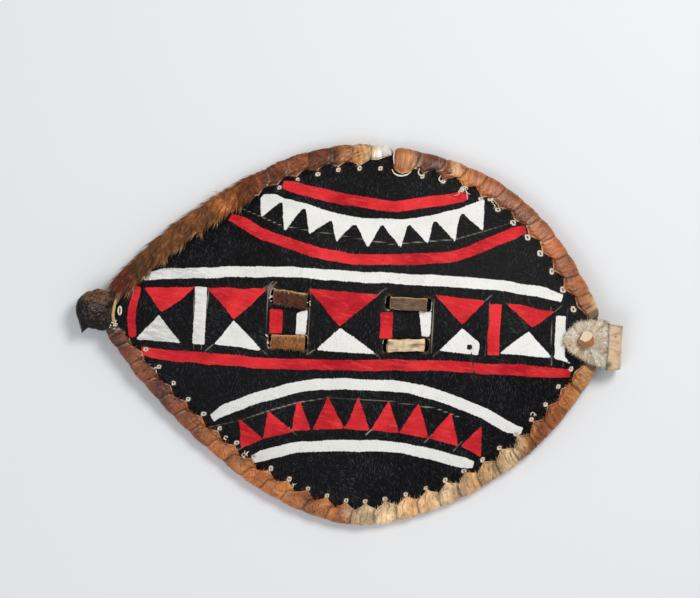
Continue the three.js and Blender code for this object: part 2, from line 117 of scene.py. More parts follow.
def curve_y(points, x):
    """A smooth curve y(x) through points, with slopes taken from the neighbours."""
    px = np.array([p[0] for p in points], float)
    py = np.array([p[1] for p in points], float)
    slope = np.gradient(py)
    slope[1:-1] = (py[2:] - py[:-2]) / (px[2:] - px[:-2])
    slope[0] = (py[1] - py[0]) / (px[1] - px[0])
    slope[-1] = (py[-1] - py[-2]) / (px[-1] - px[-2])
    k = np.clip(np.searchsorted(px, x, side="right") - 1, 0, len(px) - 2)
    span = px[k + 1] - px[k]
    t = np.clip((x - px[k]) / span, 0, 1)
    keep = (1 + 2 * t) * (1 - t) ** 2
    bend = t * (1 - t) ** 2 * slope[k] + t * t * (t - 1) * slope[k + 1]
    return keep * py[k] + (1 - keep) * py[k + 1] + span * bend


def middle_y(x):
    """The line between the two tips."""
    share = (np.asarray(x, float) - LEFT_TIP[0]) / (RIGHT_TIP[0] - LEFT_TIP[0])
    return LEFT_TIP[1] + (RIGHT_TIP[1] - LEFT_TIP[1]) * np.clip(share, 0, 1)


def side_height(x):
    """Height of the panel's sides: level in the middle, rising to the tips."""
    away = (np.abs(x - CENTRE_X) - LEVEL_HALF_LENGTH) / (HALF_LENGTH - LEVEL_HALF_LENGTH)
    return SIDE_HEIGHT + (TIP_HEIGHT - SIDE_HEIGHT) * np.maximum(away, 0) ** 2


def panel_height(x, y):
    """Height of the panel's middle surface."""
    x, y = np.broadcast_arrays(np.asarray(x, float), np.asarray(y, float))
    along = np.minimum(np.abs(x - CENTRE_X) / HALF_LENGTH, 1)
    spine = TIP_HEIGHT + (SPINE_TOP - TIP_HEIGHT) * (1 - along**2)
    middle = middle_y(x)
    edge = np.where(y > middle, curve_y(UPPER_EDGE, x), curve_y(LOWER_EDGE, x))
    across = np.minimum(np.abs((y - middle) / np.where(edge == middle, 1, edge - middle)), 1.15)
    side = side_height(x)
    return side + (spine - side) * (1 - across**2)


LATTICE = np.random.default_rng(11).random((97, 89)) * 2 - 1


def noise(x, y):
    """Smooth noise from -1 to 1, with one cell for each unit of x and y."""
    x, y = np.broadcast_arrays(np.asarray(x, float), np.asarray(y, float))
    ix, iy = np.floor(x).astype(int), np.floor(y).astype(int)
    fx, fy = smooth(x - ix), smooth(y - iy)
    rows, columns = LATTICE.shape

    def corner(i, j):
        return LATTICE[(ix + i) % rows, (iy + j) % columns]

    low = corner(0, 0) * (1 - fx) + corner(1, 0) * fx
    high = corner(0, 1) * (1 - fx) + corner(1, 1) * fx
    return low * (1 - fy) + high * fy


def spline(a, b, c, d, f):
    """The place at share f between b and c of a smooth curve through a, b, c and d."""
    return 0.5 * (2 * b + (c - a) * f + (2 * a - 5 * b + 4 * c - d) * f**2 + (3 * b - a - 3 * c + d) * f**3)


def resample(points, count, closed=False):
    """A smooth curve through points, as count points at equal parameter steps."""
    p = np.asarray(points, float)
    n = len(p)
    spans = n if closed else n - 1
    t = np.linspace(0, spans, count, endpoint=not closed)
    k = np.minimum(t.astype(int), spans - 1)
    f = (t - k)[:, None]

    def at(i):
        return p[i % n] if closed else p[np.clip(i, 0, n - 1)]

    a, b, c, d = at(k - 1), at(k), at(k + 1), at(k + 2)
    return spline(a, b, c, d, f)


class EdgePath:
    """A strip's run along the panel's edge, by arc length, with a little to spare at both ends."""

    def __init__(self, edge, from_x, to_x):
        self.edge = edge
        self.out = 1 if edge is UPPER_EDGE else -1
        self.x = np.linspace(from_x - 14, to_x + 12, 5200)
        y = curve_y(edge, self.x)
        run = np.concatenate([[0], np.cumsum(np.hypot(np.diff(self.x), np.diff(y)))])
        self.run = run - np.interp(from_x, self.x, run)
        self.length = np.interp(to_x, self.x, self.run)
        self.turns = round(self.length / TURN_PITCH)

    def at(self, turn):
        """Point and outward normal at a number of turns along the strip."""
        x = np.interp(np.asarray(turn, float) * self.length / self.turns, self.run, self.x)
        y = curve_y(self.edge, x)
        tilt = curve_y(self.edge, x + 0.5) - curve_y(self.edge, x - 0.5)
        size = np.hypot(1, tilt)
        return x, y, -tilt / size * self.out, self.out / size


PATHS = {name: EdgePath(*spec) for name, spec in STRIPS.items()}

LONG_HAIR_END = -112
# Half the length and half the width of a lacing hole that is stretched, and of the others.
OVAL_HOLES_FROM = 150
OVAL_HOLE = (2.9, 1.7)
ROUND_HOLE = (1.9, 1.8)
PLAIN_TURNS = {("binding_lower", 0), ("binding_upper_left", 0)}


def lacing_holes():
    """Middle, outward direction and half sizes of each hole that shows beside the lacing."""
    holes = []
    for name, path in PATHS.items():
        for turn in range(path.turns):
            x, y, nx, ny = path.at(turn + 0.5)
            if (name, turn) in PLAIN_TURNS or (name == "binding_upper_left" and x < LONG_HAIR_END):
                continue
            oval = name == "binding_upper_right" and x > OVAL_HOLES_FROM
            along, across = OVAL_HOLE if oval else ROUND_HOLE
            holes.append((x - nx * HOLE_INSET, y - ny * HOLE_INSET, nx, ny, across, along))
    return holes


HOLES = lacing_holes()

# ---- Meshes ----


def make_piece(name, points, faces, materials, nodes=(), values=None, face_material=None, sharp=None):
    """A mesh piece from points in millimetres and faces as arrays of three or four corners."""
    points = in_row(points)
    groups = [np.asarray(f, np.int64) for f in faces if len(f)]
    mesh = bpy.data.meshes.new(name)
    mesh.vertices.add(len(points))
    mesh.vertices.foreach_set("co", points.astype(np.float32).ravel())
    corners = np.concatenate([g.ravel() for g in groups])
    sizes = np.concatenate([np.full(len(g), g.shape[1]) for g in groups])
    mesh.loops.add(len(corners))
    mesh.loops.foreach_set("vertex_index", corners.astype(np.int32))
    mesh.polygons.add(len(sizes))
    starts = np.concatenate([[0], np.cumsum(sizes)[:-1]])
    mesh.polygons.foreach_set("loop_start", starts.astype(np.int32))
    mesh.polygons.foreach_set("use_smooth", np.ones(len(sizes), bool))
    if face_material is not None:
        mesh.polygons.foreach_set("material_index", np.asarray(face_material, np.int32))
    mesh.update(calc_edges=True)
    for key, data in (values or {}).items():
        data = np.asarray(data, np.float32)
        kind = "FLOAT" if data.ndim == 1 else "FLOAT_VECTOR"
        field = "value" if data.ndim == 1 else "vector"
        mesh.attributes.new(key, kind, "POINT").data.foreach_set(field, data.ravel())
    if sharp:
        mesh.set_sharp_from_angle(angle=math.radians(sharp))
    for material in materials:
        mesh.materials.append(material)
    piece = bpy.data.objects.new(name, mesh)
    bpy.context.scene.collection.objects.link(piece)
    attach(piece, "root")
    if nodes:
        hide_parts(*nodes)
    return piece


def grid_faces(rows, columns, close_rows=False, close_columns=False):
    """Quads of a grid whose point (i, j) is number i * columns + j."""
    i = np.arange(rows if close_rows else rows - 1)
    j = np.arange(columns if close_columns else columns - 1)
    a, b = np.meshgrid(i, j, indexing="ij")
    c, d = (a + 1) % rows, (b + 1) % columns
    return np.stack([a * columns + b, c * columns + b, c * columns + d, a * columns + d], -1).reshape(-1, 4)


def outward(points, quads):
    """The quads, turned round if they enclose a negative volume."""
    p = np.asarray(points, float)
    a, b, c, d = (p[quads[:, k]] for k in range(4))
    volume = np.einsum("ij,ij->i", a, np.cross(b, c)).sum() + np.einsum("ij,ij->i", a, np.cross(c, d)).sum()
    return quads[:, ::-1] if volume < 0 else quads


def tube(rings, closed=False, caps=True):
    """Points and faces of a skin over rings, an array of ring, corner and coordinate."""
    rings = np.asarray(rings, float)
    rows, columns = rings.shape[:2]
    points = rings.reshape(-1, 3)
    quads = outward(points, grid_faces(rows, columns, close_rows=closed, close_columns=True))
    if closed or not caps:
        return points, [quads]
    middles = rings[[0, -1]].mean(1)
    points = np.vstack([points, middles])
    turned = quads[0][1] != grid_faces(rows, columns, close_columns=True)[0][1]
    j = np.arange(columns)
    k = (j + 1) % columns
    first = np.stack([np.full(columns, len(points) - 2), j, k], -1)
    last = np.stack(
        [np.full(columns, len(points) - 1), (rows - 1) * columns + k, (rows - 1) * columns + j], -1
    )
    triangles = np.vstack([first, last])
    return points, [quads, triangles[:, ::-1] if turned else triangles]


STRAND_POINTS = 7


def strands(roots, along, normals, length, width, rise, bend=0.5):
    """Closed tapering hairs: each leaves its root along a direction, rises, and comes down again."""
    length, width, rise = (
        np.broadcast_to(np.asarray(v, float), len(roots))[:, None] for v in (length, width, rise)
    )
    side = np.cross(along, normals)
    side /= np.linalg.norm(side, axis=1, keepdims=True) + 1e-9
    foot = roots - normals * width * 0.5
    middle = roots + along * length * bend + normals * rise
    tip = roots + along * length + normals * rise * 0.6
    offsets = [side * 0.5, -side * 0.5, normals * 0.7]
    base = [foot + o * width for o in offsets]
    waist = [middle + o * width * 0.8 for o in offsets]
    points = np.stack([*base, *waist, tip], 1).reshape(-1, 3)
    one = [
        [0, 2, 1],
        [0, 1, 4],
        [0, 4, 3],
        [1, 2, 5],
        [1, 5, 4],
        [2, 0, 3],
        [2, 3, 5],
        [3, 4, 6],
        [4, 5, 6],
        [5, 3, 6],
    ]
    start = np.arange(len(roots))[:, None, None] * STRAND_POINTS
    return points, (np.array(one)[None] + start).reshape(-1, 3)


def per_strand(values):
    """One value a hair, repeated for each point of the hair."""
    return np.repeat(np.asarray(values), STRAND_POINTS, axis=0)


def make_hair(name, strand_mesh, material, tint, axes, rng):
    """A piece of loose hairs. Each has its own place in the material's streaks, which run along two axes."""
    points, faces = strand_mesh
    own = per_strand(rng.random(len(points) // STRAND_POINTS) * 90)
    flow = np.stack([own, points[:, axes[0]], points[:, axes[1]]], -1)
    make_piece(name, points, [faces], [material], (), {"tint": tint, "flow": flow})


def on_face(x, y, lift):
    """A point above the hide's face."""
    return [x, y, float(panel_height(x, y)) + HIDE / 2 + lift]


def ribbon(points, width, thick, twist=0.0):
    """Rings of a narrow strip of skin that follows points and may twist."""
    path = resample(points, 8 * len(points))
    ahead = np.gradient(path, axis=0)
    ahead /= np.linalg.norm(ahead, axis=1, keepdims=True) + 1e-9
    side = np.cross(ahead, [0, 0, 1.0])
    side /= np.linalg.norm(side, axis=1, keepdims=True) + 1e-9
    up = np.cross(side, ahead)
    t = np.linspace(0, 1, len(path))[:, None]
    turn = twist * t
    side, up = side * np.cos(turn) + up * np.sin(turn), up * np.cos(turn) - side * np.sin(turn)
    angle = np.linspace(0, 2 * math.pi, 8, endpoint=False)
    taper = 0.35 + 0.65 * np.sin(math.pi * np.clip(t, 0.06, 0.94))
    w, h = np.cos(angle) * width / 2 * taper, np.sin(angle) * thick / 2 * taper
    return path[:, None] + side[:, None] * w[..., None] + up[:, None] * h[..., None]


def scatter(points, quads, count, rng):
    """Random places on quads, by area: their points, unit normals, and the quad and shares of each."""
    p = np.asarray(points, float)
    a, b, c, d = (p[quads[:, k]] for k in range(4))
    cross = np.cross(c - a, d - b)
    area = np.linalg.norm(cross, axis=1)
    pick = rng.choice(len(quads), count, p=area / area.sum())
    u, v = rng.random((2, count, 1))
    place = a[pick] * (1 - u) * (1 - v) + b[pick] * u * (1 - v) + c[pick] * u * v + d[pick] * (1 - u) * v
    normal = cross[pick] / (area[pick][:, None] + 1e-9)
    return place, normal, pick, (u[:, 0], v[:, 0])


def turned_along(direction, normals):
    """Directions laid flat on the surface that has these normals."""
    flat = direction - normals * np.einsum("ij,ij->i", direction, normals)[:, None]
    return flat / (np.linalg.norm(flat, axis=1, keepdims=True) + 1e-9)


# ---- Materials ----


def srgb(red, green, blue):
    """Linear colour from screen values of 0 to 255."""
    share = np.array([red, green, blue]) / 255
    return tuple(np.where(share <= 0.04045, share / 12.92, ((share + 0.055) / 1.055) ** 2.4))


TAN_HAIR = srgb(170, 108, 56)
RED_BROWN = srgb(116, 50, 20)
BROWN = srgb(148, 80, 36)
CARAMEL = srgb(180, 100, 42)
ORANGE_TAN = srgb(208, 132, 66)
LIGHT_TAN = srgb(224, 174, 116)
CREAM = srgb(240, 208, 160)
WHITE_HAIR = srgb(244, 238, 226)


class Shader:
    """A small builder for node materials."""

    def __init__(self, name, roughness=0.6, **sockets):
        self.material = bpy.data.materials.new(name)
        self.material.use_nodes = True
        self.tree = self.material.node_tree
        self.tree.nodes.clear()
        self.output = self.tree.nodes.new("ShaderNodeOutputMaterial")
        self.surface = self.tree.nodes.new("ShaderNodeBsdfPrincipled")
        self.surface.inputs["Roughness"].default_value = roughness
        for key, value in sockets.items():
            self.surface.inputs[key.replace("_", " ")].default_value = value
        self.link(self.surface.outputs[0], self.output.inputs["Surface"])
        self.place = self.tree.nodes.new("ShaderNodeTexCoord").outputs["Object"]

    def link(self, source, socket):
        self.tree.links.new(source, socket)

    def put(self, socket, value):
        if isinstance(value, bpy.types.NodeSocket):
            self.link(value, socket)
        else:
            socket.default_value = (
                (*value, 1) if len(np.shape(value)) and len(socket.default_value) == 4 else value
            )

    def value(self, name, output="Fac"):
        """A number that the mesh carries at each point."""
        node = self.tree.nodes.new("ShaderNodeAttribute")
        node.attribute_name = name
        return node.outputs[output]

    def vector(self, name):
        return self.value(name, "Vector")

    def math(self, operation, a, b=0.0, clamp=False):
        node = self.tree.nodes.new("ShaderNodeMath")
        node.operation = operation
        node.use_clamp = clamp
        self.put(node.inputs[0], a)
        self.put(node.inputs[1], b)
        return node.outputs[0]

    def mapping(self, scale, turn=0.0, vector=None):
        """Coordinates turned about Z by some degrees, then scaled."""
        source = vector or self.place
        if turn:
            turned = self.tree.nodes.new("ShaderNodeMapping")
            turned.inputs["Rotation"].default_value = (0, 0, math.radians(turn))
            self.link(source, turned.inputs["Vector"])
            source = turned.outputs[0]
        node = self.tree.nodes.new("ShaderNodeMapping")
        node.inputs["Scale"].default_value = scale
        self.link(source, node.inputs["Vector"])
        return node.outputs[0]

    def noise(self, scale, vector=None, detail=2.0, roughness=0.5):
        node = self.tree.nodes.new("ShaderNodeTexNoise")
        node.inputs["Scale"].default_value = scale
        node.inputs["Detail"].default_value = detail
        node.inputs["Roughness"].default_value = roughness
        self.link(vector or self.place, node.inputs["Vector"])
        return node.outputs["Fac"]

    def range(self, value, low, high, to_low=0.0, to_high=1.0):
        node = self.tree.nodes.new("ShaderNodeMapRange")
        node.clamp = True
        for key, number in zip(("From Min", "From Max", "To Min", "To Max"), (low, high, to_low, to_high)):
            node.inputs[key].default_value = number
        self.put(node.inputs["Value"], value)
        return node.outputs["Result"]

    def blend(self, share, a, b):
        """The number a where share is 0 and b where it is 1."""
        node = self.tree.nodes.new("ShaderNodeMix")
        node.data_type = "FLOAT"
        floats = [n for n in node.inputs if n.type == "VALUE"]
        for socket, value in zip(floats, (share, a, b)):
            self.put(socket, value)
        return next(n for n in node.outputs if n.type == "VALUE")

    def mix(self, share, a, b, blend="MIX"):
        node = self.tree.nodes.new("ShaderNodeMix")
        node.data_type = "RGBA"
        node.blend_type = blend
        self.put(node.inputs["Factor"], share)
        for name, colour in (("A", a), ("B", b)):
            socket = next(s for s in node.inputs if s.name == name and s.type == "RGBA")
            self.put(socket, colour)
        return next(s for s in node.outputs if s.type == "RGBA")

    def colour(self, value):
        self.put(self.surface.inputs["Base Color"], value)

    def rough(self, value):
        self.put(self.surface.inputs["Roughness"], value)

    def bump(self, height, distance, strength=1.0):
        """distance is the relief's depth in millimetres."""
        node = self.tree.nodes.new("ShaderNodeBump")
        node.inputs["Distance"].default_value = distance / 1000
        node.inputs["Strength"].default_value = strength
        self.link(height, node.inputs["Height"])
        self.link(node.outputs[0], self.surface.inputs["Normal"])


def painted_hair():
    """Short black hair, combed flat, with red and white paint whose edges follow the hairs."""
    s = Shader("black_painted_hair", roughness=0.5)
    s.surface.inputs["Specular IOR Level"].default_value = 0.1
    first = s.noise(1.0, s.mapping((160, 900, 400), turn=62), detail=3, roughness=0.6)
    second = s.noise(1.0, s.mapping((190, 960, 400), turn=100), detail=3, roughness=0.6)
    third = s.noise(1.0, s.mapping((210, 900, 400), turn=20), detail=3, roughness=0.6)
    patches = s.range(s.noise(38, detail=2), 0.42, 0.56)
    other = s.range(s.noise(27, s.mapping((1, 1, 1), turn=40), detail=2), 0.5, 0.62)
    streak = s.blend(other, s.blend(patches, first, second), third)
    # Painted sheen: the grey flecks and the sheen colour stand in for light glinting off the glossy black
    # hair, laid over patches by the cloud noise.
    sheen_flecks = s.range(streak, 0.52, 0.7)
    cloud = s.range(s.noise(19, detail=4, roughness=0.6), 0.4, 0.68)
    black = s.mix(sheen_flecks, (0.0015, 0.0015, 0.0018), (0.028, 0.029, 0.031))
    sheen = s.mix(sheen_flecks, (0.003, 0.003, 0.004), (0.075, 0.076, 0.08))
    black = s.mix(s.math("MULTIPLY", cloud, 0.75), black, sheen)
    ragged = s.math("MULTIPLY", s.math("SUBTRACT", s.noise(520, detail=3), 0.5), 1.3)
    combed = s.math("MULTIPLY", s.math("SUBTRACT", streak, 0.5), 2.2)
    jitter = s.math("ADD", ragged, combed)
    red_mask = s.range(s.math("ADD", s.value("paint_red"), jitter), -0.6, -0.1)
    white_mask = s.range(s.math("ADD", s.value("paint_white"), jitter), -0.6, -0.1)
    brush = s.noise(1.0, s.mapping((60, 320, 200), turn=8), detail=4, roughness=0.65)
    red = s.mix(s.range(s.noise(21, detail=4), 0.36, 0.64), (0.44, 0.007, 0.016), (0.8, 0.032, 0.037))
    red = s.mix(s.range(brush, 0.5, 0.75), red, (0.8, 0.06, 0.055))
    red = s.mix(s.math("MULTIPLY", s.range(streak, 0.3, 0.46, 1.0, 0.0), 0.6), red, (0.24, 0.004, 0.008))
    white = s.mix(s.noise(40, detail=4), (0.72, 0.7, 0.65), (0.92, 0.91, 0.88))
    # Painted shade: the white paint is greyed towards the shield's left end, the side turned from the light.
    white = s.mix(
        s.math("MULTIPLY", s.value("painted_left_shade"), s.range(brush, 0.4, 0.6)), white, (0.34, 0.33, 0.31)
    )
    white = s.mix(s.math("MULTIPLY", s.range(streak, 0.3, 0.44, 1.0, 0.0), 0.55), white, (0.38, 0.37, 0.34))
    line = s.math("ABSOLUTE", s.math("ADD", s.value("guide"), s.math("MULTIPLY", ragged, 0.2)))
    guide = s.math("MULTIPLY", s.range(line, 0.4, 1.05, 0.7, 0.0), s.value("guide_strength"))
    guide = s.math("MULTIPLY", guide, s.range(s.noise(160, detail=3), 0.2, 0.42))
    bare = s.math("MULTIPLY", s.value("worn"), s.range(s.noise(420, detail=4), 0.35, 0.55))
    base = s.mix(guide, black, (0.5, 0.42, 0.32))
    base = s.mix(red_mask, base, red)
    base = s.mix(white_mask, base, white)
    base = s.mix(bare, base, (0.3, 0.16, 0.09))
    # The pale ring round each hole is partly the cut edge of the hide and partly painted light, as if light
    # showed through the hole.
    base = s.mix(
        s.range(s.math("ADD", s.value("skin"), s.math("MULTIPLY", ragged, 0.15)), 0.45, 0.6),
        base,
        (0.72, 0.64, 0.53),
    )
    s.colour(base)
    paint = s.math("MAXIMUM", red_mask, white_mask)
    s.rough(s.math("ADD", s.range(streak, 0.3, 0.7, 0.4, 0.6), s.math("MULTIPLY", paint, 0.15)))
    s.bump(streak, 0.7)
    return s.material


def flesh_side():
    """The bare back of the hide: pale tan, scraped and stained."""
    s = Shader("flesh_side", roughness=0.75)
    cloud = s.noise(14, detail=5, roughness=0.6)
    scrape = s.noise(1.0, s.mapping((40, 420, 200), turn=70), detail=3)
    base = s.mix(s.range(cloud, 0.35, 0.68), (0.36, 0.24, 0.13), (0.56, 0.43, 0.27))
    base = s.mix(s.math("MULTIPLY", s.range(scrape, 0.55, 0.75), 0.5), base, (0.66, 0.56, 0.4))
    base = s.mix(s.range(s.noise(6, detail=4), 0.6, 0.75), base, (0.2, 0.11, 0.05))
    s.colour(base)
    s.bump(s.math("ADD", scrape, s.noise(300, detail=4)), 0.5)
    return s.material


def cut_hide(name="cut_hide_edge", dark=(0.62, 0.5, 0.37), pale=(0.88, 0.82, 0.72)):
    """A cut or worn edge of hide: pale fibrous skin."""
    s = Shader(name, roughness=0.8)
    fibre = s.noise(520, detail=4, roughness=0.7)
    s.colour(s.mix(s.range(fibre, 0.35, 0.62), dark, pale))
    s.bump(fibre, 0.4)
    return s.material


def tinted_hair(name, streaks, roughness=0.45, bump=0.5, spread=0.35, sheen=0.0, specular=0.4):
    """Hair whose colour comes from the mesh, with streaks along the flow coordinates of the mesh."""
    s = Shader(name, roughness=roughness)
    s.surface.inputs["Specular IOR Level"].default_value = specular
    if sheen:
        s.surface.inputs["Sheen Weight"].default_value = sheen
        s.surface.inputs["Sheen Roughness"].default_value = 0.4
    flow = s.vector("flow")
    streak = s.noise(1.0, s.mapping(streaks, vector=flow), detail=4, roughness=0.65)
    broad = s.noise(1.0, s.mapping([v * 0.3 for v in streaks], vector=flow), detail=2)
    tint = s.vector("tint")
    dark = s.mix(1.0, tint, (0.3, 0.16, 0.1), "MULTIPLY")
    # Painted highlight: the light colour laid on the bright streaks stands in for the hair's glossy shine.
    light = s.mix(spread * 0.6, tint, (0.95, 0.72, 0.46))
    base = s.mix(s.range(streak, 0.28, 0.5), s.mix(spread * 1.6, tint, dark), tint)
    base = s.mix(s.range(streak, 0.55, 0.78), base, light)
    base = s.mix(s.math("MULTIPLY", s.range(broad, 0.32, 0.48, 1.0, 0.0), spread * 1.4), base, dark)
    s.colour(base)
    s.rough(s.range(streak, 0.3, 0.7, roughness - 0.08, roughness + 0.12))
    s.bump(streak, bump)
    return s.material


def whittled_wood(name, dark=(0.2, 0.075, 0.018), light=(0.5, 0.27, 0.1), along=(25, 420, 420)):
    """Knife-cut wood, with grain along the mesh's flow coordinates."""
    s = Shader(name, roughness=0.5)
    flow = s.vector("flow")
    grain = s.noise(1.0, s.mapping(along, vector=flow), detail=5, roughness=0.6)
    patches = s.noise(60, detail=3)
    base = s.mix(s.range(grain, 0.3, 0.68), dark, light)
    base = s.mix(s.math("MULTIPLY", s.range(patches, 0.5, 0.7), 0.5), base, dark)
    base = s.mix(s.value("cut"), base, (0.86, 0.7, 0.5))
    s.colour(base)
    s.rough(s.range(grain, 0.3, 0.7, 0.4, 0.65))
    s.bump(grain, 0.25)
    return s.material


def sinew_cord():
    """Dry sinew, darker between its plies."""
    s = Shader("sinew", roughness=0.45)
    flow = s.vector("flow")
    ply = s.noise(1.0, s.mapping((500, 60, 60), vector=flow), detail=4)
    base = s.mix(s.range(ply, 0.3, 0.7), (0.42, 0.22, 0.06), (0.78, 0.52, 0.24))
    s.colour(base)
    s.bump(ply, 0.3)
    return s.material


# ---- The painted picture ----

# Points along each painted band, and half its width.
RED_BANDS = [
    ([(-82, 151), (-50, 144), (0, 136.5), (35, 133.5), (50, 135), (80, 141), (100, 145), (120, 150)], 5.8),
    ([
        (-137, 112), (-120, 105), (-100, 95), (-50, 80.5), (0, 73), (50, 76), (100, 81), (120, 87),
        (150, 101), (170, 111), (186, 117),
    ], 5.6),
    ([
        (-226, -40), (-200, -43), (-150, -44), (-100, -45), (-50, -44), (0, -42), (50, -39.5),
        (100, -36.5), (150, -37.5), (200, -37), (243, -38),
    ], 5.6),
    ([(-234, 29), (-238, 10), (-239, -5), (-237, -25)], 4),
]
WHITE_BANDS = [
    ([
        (-228, 41), (-214, 44), (-200, 46), (-150, 50), (-100, 53.5), (-50, 55), (0, 54), (50, 55),
        (100, 55.5), (150, 54), (200, 50), (230, 44),
    ], 5.4),
    ([
        (-145, -109), (-130, -98.5), (-100, -85.5), (-75, -76.5), (-50, -68.5), (-20, -64), (0, -63),
        (50, -62), (80, -65), (100, -69.5), (120, -75.5), (150, -86.5), (180, -100.5), (194, -104),
    ], 5.6),
    ([
        (-98, -152), (-80, -145), (-50, -135.5), (-20, -132), (0, -130.5), (50, -128.5), (80, -132),
        (100, -135), (120, -140), (143, -144),
    ], 5.6),
]
TOOTH_TOP = [
    (-106, 134), (-103, 139), (-90, 139), (-80, 135), (-50, 129), (-20, 121), (0, 118), (50, 119),
    (70, 123), (90, 128), (110, 134), (138, 147),
]
TOOTH_TIPS = [
    (-104, 113), (-78, 100), (-50, 98), (-20, 91), (15, 87), (50, 89), (79, 95), (108, 100), (139, 112),
]
TOOTH_NOTCHES = [(-83, 132), (-57, 126), (-28, 115), (-2, 112), (29, 113), (58, 115), (86, 121), (115, 131)]
WHITE_SHAPES = [
    [(-209, -1), (-233, -28), (-183, -28)],
    [(-126, -2), (-147, -28), (-95, -31)],
    [(-11, -2), (-34, -27), (30, -28)],
    [(122, 5), (99, -21), (140, -22), (141, -10)],
    [(195, 5), (164, -19), (222, -22)],
    [(-170, 33), (-158, 33), (-158, -29), (-170, -29)],
    [(-58, 11), (-47, 14), (-47, -12), (-58, -12)],
    [(74, 20), (88, 20), (86, -6), (79, -6)],
    [(225, 25), (235, 24), (235, -20), (242, -27), (236, -25), (225, -22)],
]
RED_SHAPES = [
    [(-227, 29), (-171, 32), (-206, 3)],
    [(-157, 33), (-93, 35), (-126, 0)],
    [(-47, 38), (29, 36), (-12, 0)],
    [(91, 39), (145, 36), (122, 9)],
    [(168, 35), (222, 29), (198, 11)],
    [(-87, 14), (-74, 14), (-74, -12), (-87, -12)],
    [(33, 18), (46, 18), (46, -10), (33, -10)],
    [(151, 33), (163, 33), (163, -22), (151, -22)],
]
RED_TEETH = [
    [(-115, -108), (-111, -140), (-88, -129)],
    [(-83, -97), (-87, -128), (-56, -118)],
    [(-53, -86), (-50, -86), (-36, -115), (-56, -117)],
    [(-20, -78), (-33, -114), (0, -112)],
    [(14, -77), (1, -112), (28, -112)],
    [(47, -78), (30, -112), (59, -112)],
    [(80, -80), (60, -112), (92, -117)],
    [(116, -88), (93, -117), (125, -124)],
    [(149, -101), (128, -124), (152, -134)],
]
# Thin pale lines that show between the painted shapes.
GUIDE_LINES = [
    [(-126, 122), (-80, 105), (40, 92), (108, 101), (140, 112), (172, 124)],
    [(-150, -120), (-115, -110), (-83, -97), (-52, -86), (-20, -79), (50, -79), (100, -84), (125, -92)],
    [(-45, 40), (-44, -33)],
    [(-91, 38), (-90, -33)],
    [(-172, 36), (-168, -36)],
    [(-155, 36), (-160, -34)],
    [(236, 34), (235, -30)],
    [(218, 34), (222, -30)],
    [(89, 36), (90, -24)],
    [(34, 34), (34, -28)],
    [(150, 36), (149, -24)],
    [(-98, 34), (-86, 44)],
    [(-90, 40), (-84, 35), (-92, 34), (-82, 44)],
    [(-96, -31), (-88, -36)],
    [(-147, -28), (-156, -36)],
    [(-36, -27), (-46, -34)],
    [(29, -28), (36, -34)],
    [(28, 36), (37, 44)],
    [(98, -21), (91, -28)],
    [(145, 36), (152, 43)],
    [(163, -19), (156, -26)],
    [(222, 29), (230, 36)],
    [(-116, -144), (-106, -136)],
    [(-61, -113), (-51, -122)],
    [(24, -117), (34, -107)],
    [(88, -122), (97, -112)],
    [(120, -130), (130, -118)],
]
PUNCTURE = (131, -15)
CREASE = [(133, -20), (135, -30), (139, -47)]


def line_distance(x, y, points):
    """Distance from each place to a polyline, and the share of its length at the nearest point."""
    best = np.full(np.shape(x), 1e9)
    share = np.zeros(np.shape(x))
    p = np.asarray(points, float)
    spans = np.hypot(*(p[1:] - p[:-1]).T)
    before = np.concatenate([[0], np.cumsum(spans)])
    for k, (a, b) in enumerate(zip(p[:-1], p[1:])):
        t = np.clip(((x - a[0]) * (b[0] - a[0]) + (y - a[1]) * (b[1] - a[1])) / spans[k] ** 2, 0, 1)
        far = np.hypot(x - a[0] - t * (b[0] - a[0]), y - a[1] - t * (b[1] - a[1]))
        nearer = far < best
        best = np.where(nearer, far, best)
        share = np.where(nearer, (before[k] + t * spans[k]) / before[-1], share)
    return best, share


def band(x, y, points, half):
    """Signed distance in millimetres into a painted band with blunt ends: positive inside."""
    path = resample(points, 6 * len(points))
    far, share = line_distance(x, y, path)
    inside = half * (0.7 + 0.3 * smooth(share / 0.05) * smooth((1 - share) / 0.05)) - far
    for end, before in ((path[0], path[1]), (path[-1], path[-2])):
        way = (end - before) / np.hypot(*(end - before))
        inside = np.minimum(inside, -((x - end[0]) * way[0] + (y - end[1]) * way[1]))
    return inside


def patch(x, y, points):
    """Signed distance into a polygon: positive inside."""
    ring = [*points, points[0]]
    far, _ = line_distance(x, y, ring)
    inside = np.zeros(np.shape(x), bool)
    for (ax, ay), (bx, by) in zip(ring[:-1], ring[1:]):
        crosses = (ay > y) != (by > y)
        at = (bx - ax) * (y - ay) / (by - ay if by != ay else 1) + ax
        inside ^= crosses & (x < at)
    return np.where(inside, far, -far)


def tooth_band():
    """The white band whose lower edge is cut into teeth, as one outline."""
    lower = [TOOTH_TIPS[-1]]
    for tip, notch in zip(TOOTH_TIPS[-2::-1], TOOTH_NOTCHES[::-1]):
        lower += [(notch[0] + 2, notch[1] - 1), (notch[0] - 2, notch[1] - 1), tip]
    return [*TOOTH_TOP, *lower]


